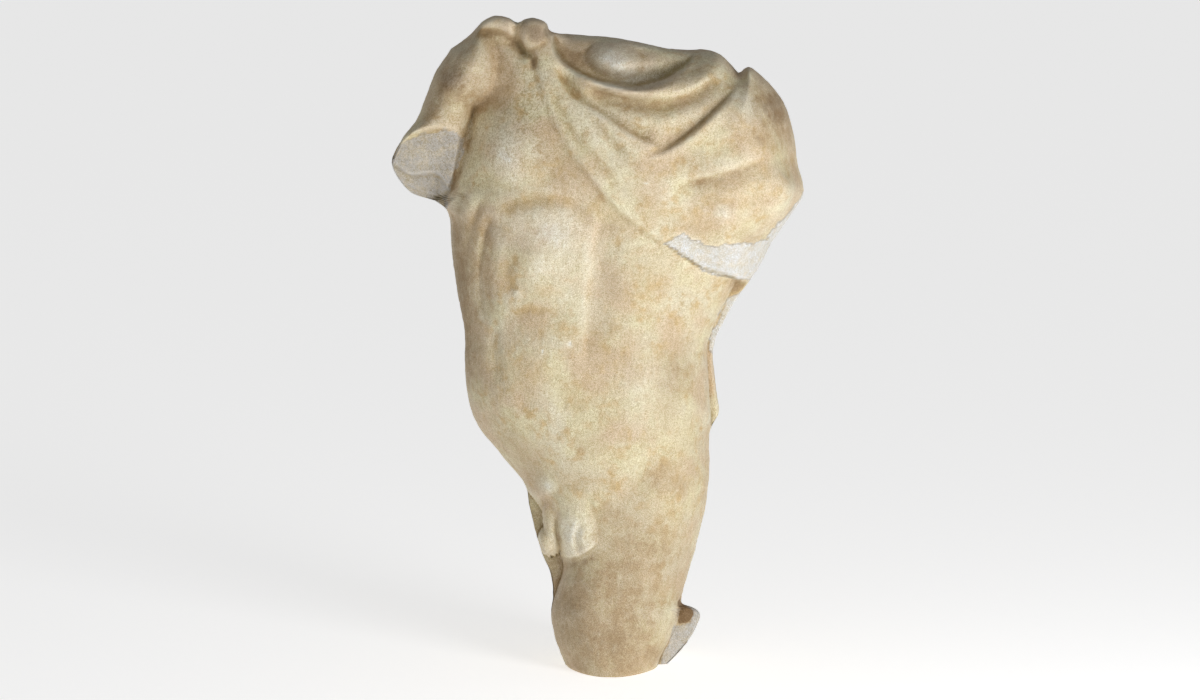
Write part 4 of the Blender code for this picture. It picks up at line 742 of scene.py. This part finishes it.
# Shares over the picture plane, each fading out where front does.
def finishMaps(x, w, front):
    broken = np.zeros(x.shape)
    for share, outline in brokenAreas:
        broken = np.maximum(broken, share * inside(x, w, outline, 0.2))
    maps = dict(broken=broken, soilAndShade=strokesAndSpots(x, w, soilAndShadeStrokes, soilAndShadeSpots),
                ochre=strokesAndSpots(x, w, ochreStrokes, ochreSpots), paleAndHighlight=strokesAndSpots(x, w, (), paleAndHighlightSpots),
                coarse=strokesAndSpots(x, w, (), coarseSpots))
    return {name: values * front for name, values in maps.items()}


# Faces between two chains of vertices that run the same way and share their ends.
def stitch(one, other, flip):
    faces, i, j = [], 0, 0
    last, final = len(one) - 1, len(other) - 1
    while i < last or j < final:
        if j == final or (i < last and (i + 1) * final <= (j + 1) * last):
            face, i = (one[i], one[i + 1], other[j]), i + 1
        else:
            face, j = (one[i], other[j + 1], other[j]), j + 1
        if len(set(face)) == 3:
            faces.append(face[::-1] if flip else face)
    return faces


# The carved surface with its wear: every point moves along its normal by layered noise, more on a
# break, and less at the underside, which stays level.
def buildTorso():
    front, back = sheet(torso["frontColumns"], 1), sheet(torso["backColumns"], -1)
    rings = np.concatenate([front, back[:, -2:0:-1]], axis=1)
    x, w, depth = rings[..., 0], rings[..., 1], rings[..., 2]
    tilt = np.radians(torso["viewTilt"])
    points = np.stack([x, -depth, (w + depth * np.sin(tilt)) / np.cos(tilt)], axis=-1)
    points[0, :, 2] = 0
    print("carved form: %d points" % x.size)

    # breaks, stains, painted shade and painted highlights seen from the front run a little way round the
    # outline, to a ragged end
    behind = np.where(np.arange(x.shape[1]) > torso["frontColumns"], edgeDepth(x, w) - depth, 0.0)
    ragged = behind + layered(points, torso["ragged"])
    front = np.where(behind > 0, smooth(1.6 - 0.45 * ragged), 1.0)
    astray = [layered(points, torso[name]) for name in ("astrayAcross", "astrayUp")]
    maps = finishMaps(x + astray[0], w + astray[1], front)
    broken = maps["broken"]
    normals = normalsOf(points)
    worn = layered(points, torso["wearLayers"])
    upright = (1.5, 1.5, 0.6)            # stretches a layer of the grain along the height
    grain = layered(points, torso["grainLayers"]) + 0.6 * noise(points * upright, 0.7, 4)
    rough = layered(points, torso["breakLayers"])
    pits = smooth((noise(points, 1.3, 8) - 0.42) / 0.2)
    lift = torso["wear"] * worn + torso["grain"] * grain - torso["pits"] * pits
    lift = lift * (1 - broken) + torso["breakRoughness"] * rough * broken
    calm = smooth(np.linspace(0, 1, len(x)) * 60)[:, None]      # 0 at the foot, 1 from a sixtieth up
    points += (lift * calm)[..., None] * normals

    # how far each point lies in a fine crease and in a broad hollow: the creases get painted shade, the
    # hollows earth colour that is partly painted shade
    maps["crease"] = np.sum((blurred(points, 1) - points) * normalsOf(points), axis=-1)
    maps["hollowness"] = np.sum((blurred(points, 4) - points) * normalsOf(points), axis=-1)
    points *= cadHigh.z / points[..., 2].max()
    points[..., 2] = np.maximum(points[..., 2], 0)
    # a hair narrower where the wear has pushed it out of the solid's box
    for axis in (0, 1):
        least, most = points[..., axis].min(), points[..., axis].max()
        points[..., axis] *= min(1, cadLow[axis] / least, cadHigh[axis] / most)

    index = np.arange(x.size).reshape(x.shape)
    after = np.roll(index, -1, axis=1)
    faces = np.stack([index[:-1], after[:-1], after[1:], index[1:]], axis=-1).reshape(-1, 4).tolist()
    for row, flip in ((index[0], True), (index[-1], False)):
        fore = list(row[:torso["frontColumns"] + 1])
        aft = [row[0]] + list(row[torso["frontColumns"]:][::-1])
        faces += stitch(fore, aft, flip)
    mesh = bpy.data.meshes.new("marbleTorso")
    mesh.from_pydata(points.reshape(-1, 3).tolist(), [], faces)
    mesh.shade_smooth()
    for name, values in maps.items():
        mesh.attributes.new(name, "FLOAT", "POINT").data.foreach_set("value", values.ravel())
    piece = bpy.data.objects.new("marbleTorso", mesh)
    bpy.context.scene.collection.objects.link(piece)
    print("fine surface: %d triangles" % sum(len(f) - 2 for f in faces))
    return piece


# Colours and sizes of the marble's finish.
marble = dict(
    cream=(0.670, 0.600, 0.432),
    warm=(0.628, 0.535, 0.350),
    lemon=(0.672, 0.597, 0.372),
    rose=(0.600, 0.464, 0.302),
    ochre=(0.560, 0.405, 0.200),
    # stain and earth: stains and earth, and painted shade
    stainAndShade=(0.445, 0.324, 0.188),
    earthAndShade=(0.230, 0.145, 0.070),
    grainDark=(0.72, 0.66, 0.52),
    grainLight=(1.28, 1.34, 1.48),
    # pale and white: worn patches, and painted highlights
    paleAndHighlight=(0.810, 0.760, 0.610),
    white=(0.740, 0.730, 0.690),
    chalk=(0.630, 0.628, 0.610),
    # greyer breaks: older ones, and painted shade on the arm's break
    oldAndShadedBreak=(0.415, 0.385, 0.345),
    roughness=0.56, specular=0.4,
    bumpStrength=0.5, bumpDistance=0.0006,      # metres
    glow=0.06, glowReach=(0.004, 0.003, 0.002),     # light that goes in and out again, metres
    # how strongly each is laid over what is below it
    cover=dict(lemon=0.7, rose=0.95, ochre=0.9, rust=0.8, stainAndShade=0.85, dirtAndShade=0.5, cakedAndShade=0.75, pores=0.3,
               worn=0.7, raised=0.15, white=0.6, broken=0.92),
)


# A shader socket that can be reckoned with: + - * / on it add Math nodes.
class Shade:
    def __init__(self, socket):
        self.socket = socket

    # adds a node: its type, its settings, then the values or links of its sockets
    def node(self, kind, settings, sockets, output=0):
        made = self.socket.id_data.nodes.new("ShaderNode" + kind)
        for name, setting in settings.items():
            setattr(made, name, setting)
        for key, value in sockets.items():
            plug(made.inputs[key], value)
        return Shade(made.outputs[output])

    # adds a Math node, with its result held between 0 and 1 where clamp says so
    def math(self, operation, *values, clamp=False):
        return self.node("Math", {"operation": operation, "use_clamp": clamp}, dict(enumerate(values)))

    def __add__(self, other):
        return self.math("ADD", self, other)

    def __sub__(self, other):
        return self.math("SUBTRACT", self, other)

    def __rsub__(self, other):
        return self.math("SUBTRACT", other, self)

    def __mul__(self, other):
        return self.math("MULTIPLY", self, other)

    def __truediv__(self, other):
        return self.math("DIVIDE", self, other)

    __radd__, __rmul__ = __add__, __mul__

    # held between 0 and 1
    def clamped(self):
        return self.math("ADD", self, 0.0, clamp=True)

    # 0 below low, 1 above high, and even between them
    def between(self, low, high):
        return ((self - low) / (high - low)).clamped()

    # two colours mixed by a factor, or multiplied
    def colour(self, factor, one, other, blend="MIX"):
        settings = {"data_type": "RGBA", "blend_type": blend}
        return self.node("Mix", settings, {0: factor, 6: one, 7: other}, 2)


# Gives a socket its link or its value. A colour gets its alpha.
def plug(socket, value):
    if isinstance(value, Shade):
        socket.id_data.links.new(value.socket, socket)
    elif isinstance(value, tuple) and len(value) == 3 and socket.type == "RGBA":
        socket.default_value = (*value, 1)
    else:
        socket.default_value = value


# Old marble: cream with warm clouds and ochre stains, brown earth in the pores and hollows, chalky white
# breaks, and a fine crystalline grain. Painted into the colour as well: shade in creases, folds, hollows,
# on the near flank and the arm's break, and highlights.
def marbleMaterial():
    material = bpy.data.materials.new("agedMarble")
    material.use_nodes = True
    nodes = material.node_tree.nodes
    shader = nodes["Principled BSDF"]
    cover = marble["cover"]
    place = nodes.new("ShaderNodeTexCoord")
    at = Shade(place.outputs["Object"])

    # noise about 0.5, finer as scale grows
    def cloud(scale, detail=4.0, rough=0.55, stretch=(1, 1, 1), shift=0.0):
        spot = at.node("Mapping", {}, {"Vector": at, "Scale": stretch, "Location": (shift, 0, 0)})
        return at.node("TexNoise", {}, {"Vector": spot, "Scale": scale, "Detail": detail,
                                        "Roughness": rough})

    # a share worked out with the surface
    def painted(name):
        return at.node("Attribute", {"attribute_name": name}, {}, "Fac")

    broken, soilAndShade, rust, paleAndHighlight = (painted(name) for name in ("broken", "soilAndShade", "ochre", "paleAndHighlight"))
    hollow, crease, coarse = painted("hollowness"), painted("crease"), painted("coarse")
    broad, patch, mottle = cloud(28, 2), cloud(95, 3, 0.5), cloud(230, 3, 0.5, shift=0.3)
    speck, dust, streak = cloud(900, 3, 0.6), cloud(3200, 2, 0.7), cloud(420, 4, 0.6, (1, 1, 0.22), 0.7)
    deep = hollow.between(0.03, 0.25)
    high = (0.0 - hollow).between(0.015, 0.09)

    # clouds
    tint = at.colour(broad.between(0.40, 0.60), marble["cream"], marble["warm"])
    lemon = cloud(60, 2, 0.5, shift=2.1).between(0.42, 0.60)
    tint = at.colour(lemon * cover["lemon"], tint, marble["lemon"])
    rose = cloud(45, 3, 0.5, shift=3.7).between(0.45, 0.62)
    tint = at.colour(rose * cover["rose"], tint, marble["rose"])
    flecks = mottle.between(0.44, 0.66) * patch.between(0.40, 0.6)
    tint = at.colour(flecks * cover["ochre"], tint, marble["ochre"])
    # stains, and painted shade in creases, folds and hollows and on the near flank
    rusty = (rust * (0.5 + mottle.between(0.35, 0.62))).clamped()
    tint = at.colour(rusty * cover["rust"], tint, marble["ochre"])
    stainAndShade = soilAndShade * (0.7 + 0.6 * mottle.between(0.35, 0.62)) * (0.75 + 0.5 * patch.between(0.3, 0.6))
    tint = at.colour(stainAndShade.clamped() * cover["stainAndShade"], tint, marble["stainAndShade"])
    # earth colour in the hollows, part earth and part painted shade
    dirtAndShade = soilAndShade * speck.between(0.50, 0.66) + deep * mottle.between(0.3, 0.6) * 0.5
    dirtAndShade = (dirtAndShade + soilAndShade.between(0.86, 1)).clamped()
    dark = dirtAndShade * cover["dirtAndShade"] + soilAndShade.between(0.95, 1.2) * cover["cakedAndShade"]
    tint = at.colour(dark, tint, marble["earthAndShade"])
    pores = speck.between(0.60, 0.70) * patch.between(0.42, 0.6)
    tint = at.colour(pores * cover["pores"], tint, marble["earthAndShade"])
    # pale places, part wear and part painted highlight, raised places a little paler, and broken places,
    # the arm's break greyer as painted shade
    worn = (paleAndHighlight * (0.4 + mottle.between(0.3, 0.56))).clamped()
    tint = at.colour(worn * cover["worn"] + high * cover["raised"], tint, marble["paleAndHighlight"])
    tint = at.colour(paleAndHighlight.between(0.6, 0.9) * cover["white"], tint, marble["white"])
    chalk = at.colour(broken.between(0.74, 0.94), marble["oldAndShadedBreak"], marble["chalk"])
    chalk = at.colour(mottle.between(0.42, 0.75) * 0.5, chalk, marble["warm"])
    tint = at.colour(broken.between(0.1, 0.6) * cover["broken"], tint, chalk)
    tint = at.colour(broken * speck.between(0.55, 0.66) * 0.35, tint, marble["ochre"])
    # crystals: the light between them, which is bluer where it is brighter, and painted shade in the fine
    # creases
    grain = 0.5 + (dust - 0.5) * (4.2 + 1.5 * coarse) + (speck - 0.5) * (1.0 + 2.2 * coarse)
    grain = grain + (streak - 0.5) * 0.5 - crease * 3.0
    grainAndCreaseShade = at.colour(grain.clamped(), marble["grainDark"], marble["grainLight"])
    tint = at.colour(1.0, tint, grainAndCreaseShade, "MULTIPLY")
    plug(shader.inputs["Base Color"], tint)
    plug(shader.inputs["Roughness"], (marble["roughness"] + (speck - 0.5) * 0.3 + dirtAndShade * 0.2).clamped())

    height = speck * (0.5 + 0.8 * coarse) + dust * 0.3 + mottle * 0.5 + streak * 0.5
    bump = at.node("Bump", {}, {"Height": height, "Strength": marble["bumpStrength"],
                                "Distance": marble["bumpDistance"]})
    plug(shader.inputs["Normal"], bump)
    shader.inputs["Subsurface Weight"].default_value = marble["glow"]
    shader.inputs["Subsurface Radius"].default_value = marble["glowReach"]
    shader.inputs["Specular IOR Level"].default_value = marble["specular"]
    return material


body = buildTorso()
body.data.materials.append(marbleMaterial())
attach(body, "root")
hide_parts("torso")
print("marble torso finished")


# The floor, the lamps and the camera.
studio = dict(
    floorSize=30.0, floorColour=(0.88, 0.88, 0.88, 1), floorRoughness=0.9,
    cameraDistance=4.0,
    frameWidth=183.2, aim=(-2, 48.3),     # on the picture plane, in percent
    sensor=36,
    key=(36, 4, 0.70, 0.30, 2.65),      # azimuth, elevation, distance, size, watts
    fill=(-24, 0, 1.6, 1.2, 1.45),
    paper=0.60,                         # light that the floor gives off
    world=0.22,
    lampAim=(0.01, 0.65),               # metres across, and share of the figure's height
)


# A pale floor that gives off a little light of its own, so that it stays pale far from the lamps.
def buildFloor():
    half = studio["floorSize"] / 2
    mesh = bpy.data.meshes.new("floor")
    mesh.from_pydata([(-half, -half, 0), (half, -half, 0), (half, half, 0), (-half, half, 0)], [],
                     [(0, 1, 2, 3)])
    floor = bpy.data.objects.new("floor", mesh)
    bpy.context.scene.collection.objects.link(floor)
    paper = bpy.data.materials.new("palePaper")
    paper.use_nodes = True
    shader = paper.node_tree.nodes["Principled BSDF"]
    shader.inputs["Base Color"].default_value = studio["floorColour"]
    shader.inputs["Roughness"].default_value = studio["floorRoughness"]
    shader.inputs["Emission Color"].default_value = (1, 1, 1, 1)
    shader.inputs["Emission Strength"].default_value = studio["paper"]
    mesh.materials.append(paper)


# Direction from the figure at an azimuth, positive to the right of the viewer, and an elevation.
def outward(azimuth, elevation):
    a, e = np.radians(azimuth), np.radians(elevation)
    return np.array([np.sin(a) * np.cos(e), -np.cos(a) * np.cos(e), np.sin(e)])


# Puts a lamp or camera at a distance from its target, in a direction, looking at it.
def lookFrom(thing, target, direction, distance):
    thing.rotation_mode = "QUATERNION"
    thing.location = target + direction * distance
    thing.rotation_quaternion = (-Vector(direction)).to_track_quat("-Z", "Y")
    bpy.context.scene.collection.objects.link(thing)


# A key lamp from the right, a weak fill from the left, and an even pale world.
def lightStage():
    across, share = studio["lampAim"]
    centre = np.array([across, 0, share * cadHigh.z])
    for name in ("key", "fill"):
        azimuth, elevation, distance, size, watts = studio[name]
        lamp = bpy.data.lights.new(name, "AREA")
        lamp.shape, lamp.size, lamp.energy = "DISK", size, watts
        lookFrom(bpy.data.objects.new(name, lamp), centre, outward(azimuth, elevation), distance)
    world = bpy.data.worlds.new("studio")
    bpy.context.scene.world = world
    world.use_nodes = True
    world.node_tree.nodes["Background"].inputs["Color"].default_value = (1, 1, 1, 1)
    world.node_tree.nodes["Background"].inputs["Strength"].default_value = studio["world"]


# The camera looks square at the leaning picture plane from far off. Its lens follows from how wide
# the frame is at that distance.
def placeCamera():
    tilt = np.radians(torso["viewTilt"])
    unit = percentSize()
    across, up = studio["aim"]
    target = np.array([across, 0, up / np.cos(tilt)]) * unit
    data = bpy.data.cameras.new("camera")
    data.sensor_width = studio["sensor"]
    data.lens = data.sensor_width * studio["cameraDistance"] / (studio["frameWidth"] * unit)
    data.clip_end = 50
    camera = bpy.data.objects.new("camera", data)
    lookFrom(camera, target, outward(0, torso["viewTilt"]), studio["cameraDistance"])
    bpy.context.scene.camera = camera


# One percent of the picture plane in metres: the solid's width over its outline's.
def percentSize():
    line = np.vstack([curve(leftEdge), curve(rightEdge)])
    return (cadHigh.x - cadLow.x) / (line[:, 0].max() - line[:, 0].min())


buildFloor()
lightStage()
placeCamera()
bpy.context.scene.view_settings.view_transform = "Standard"
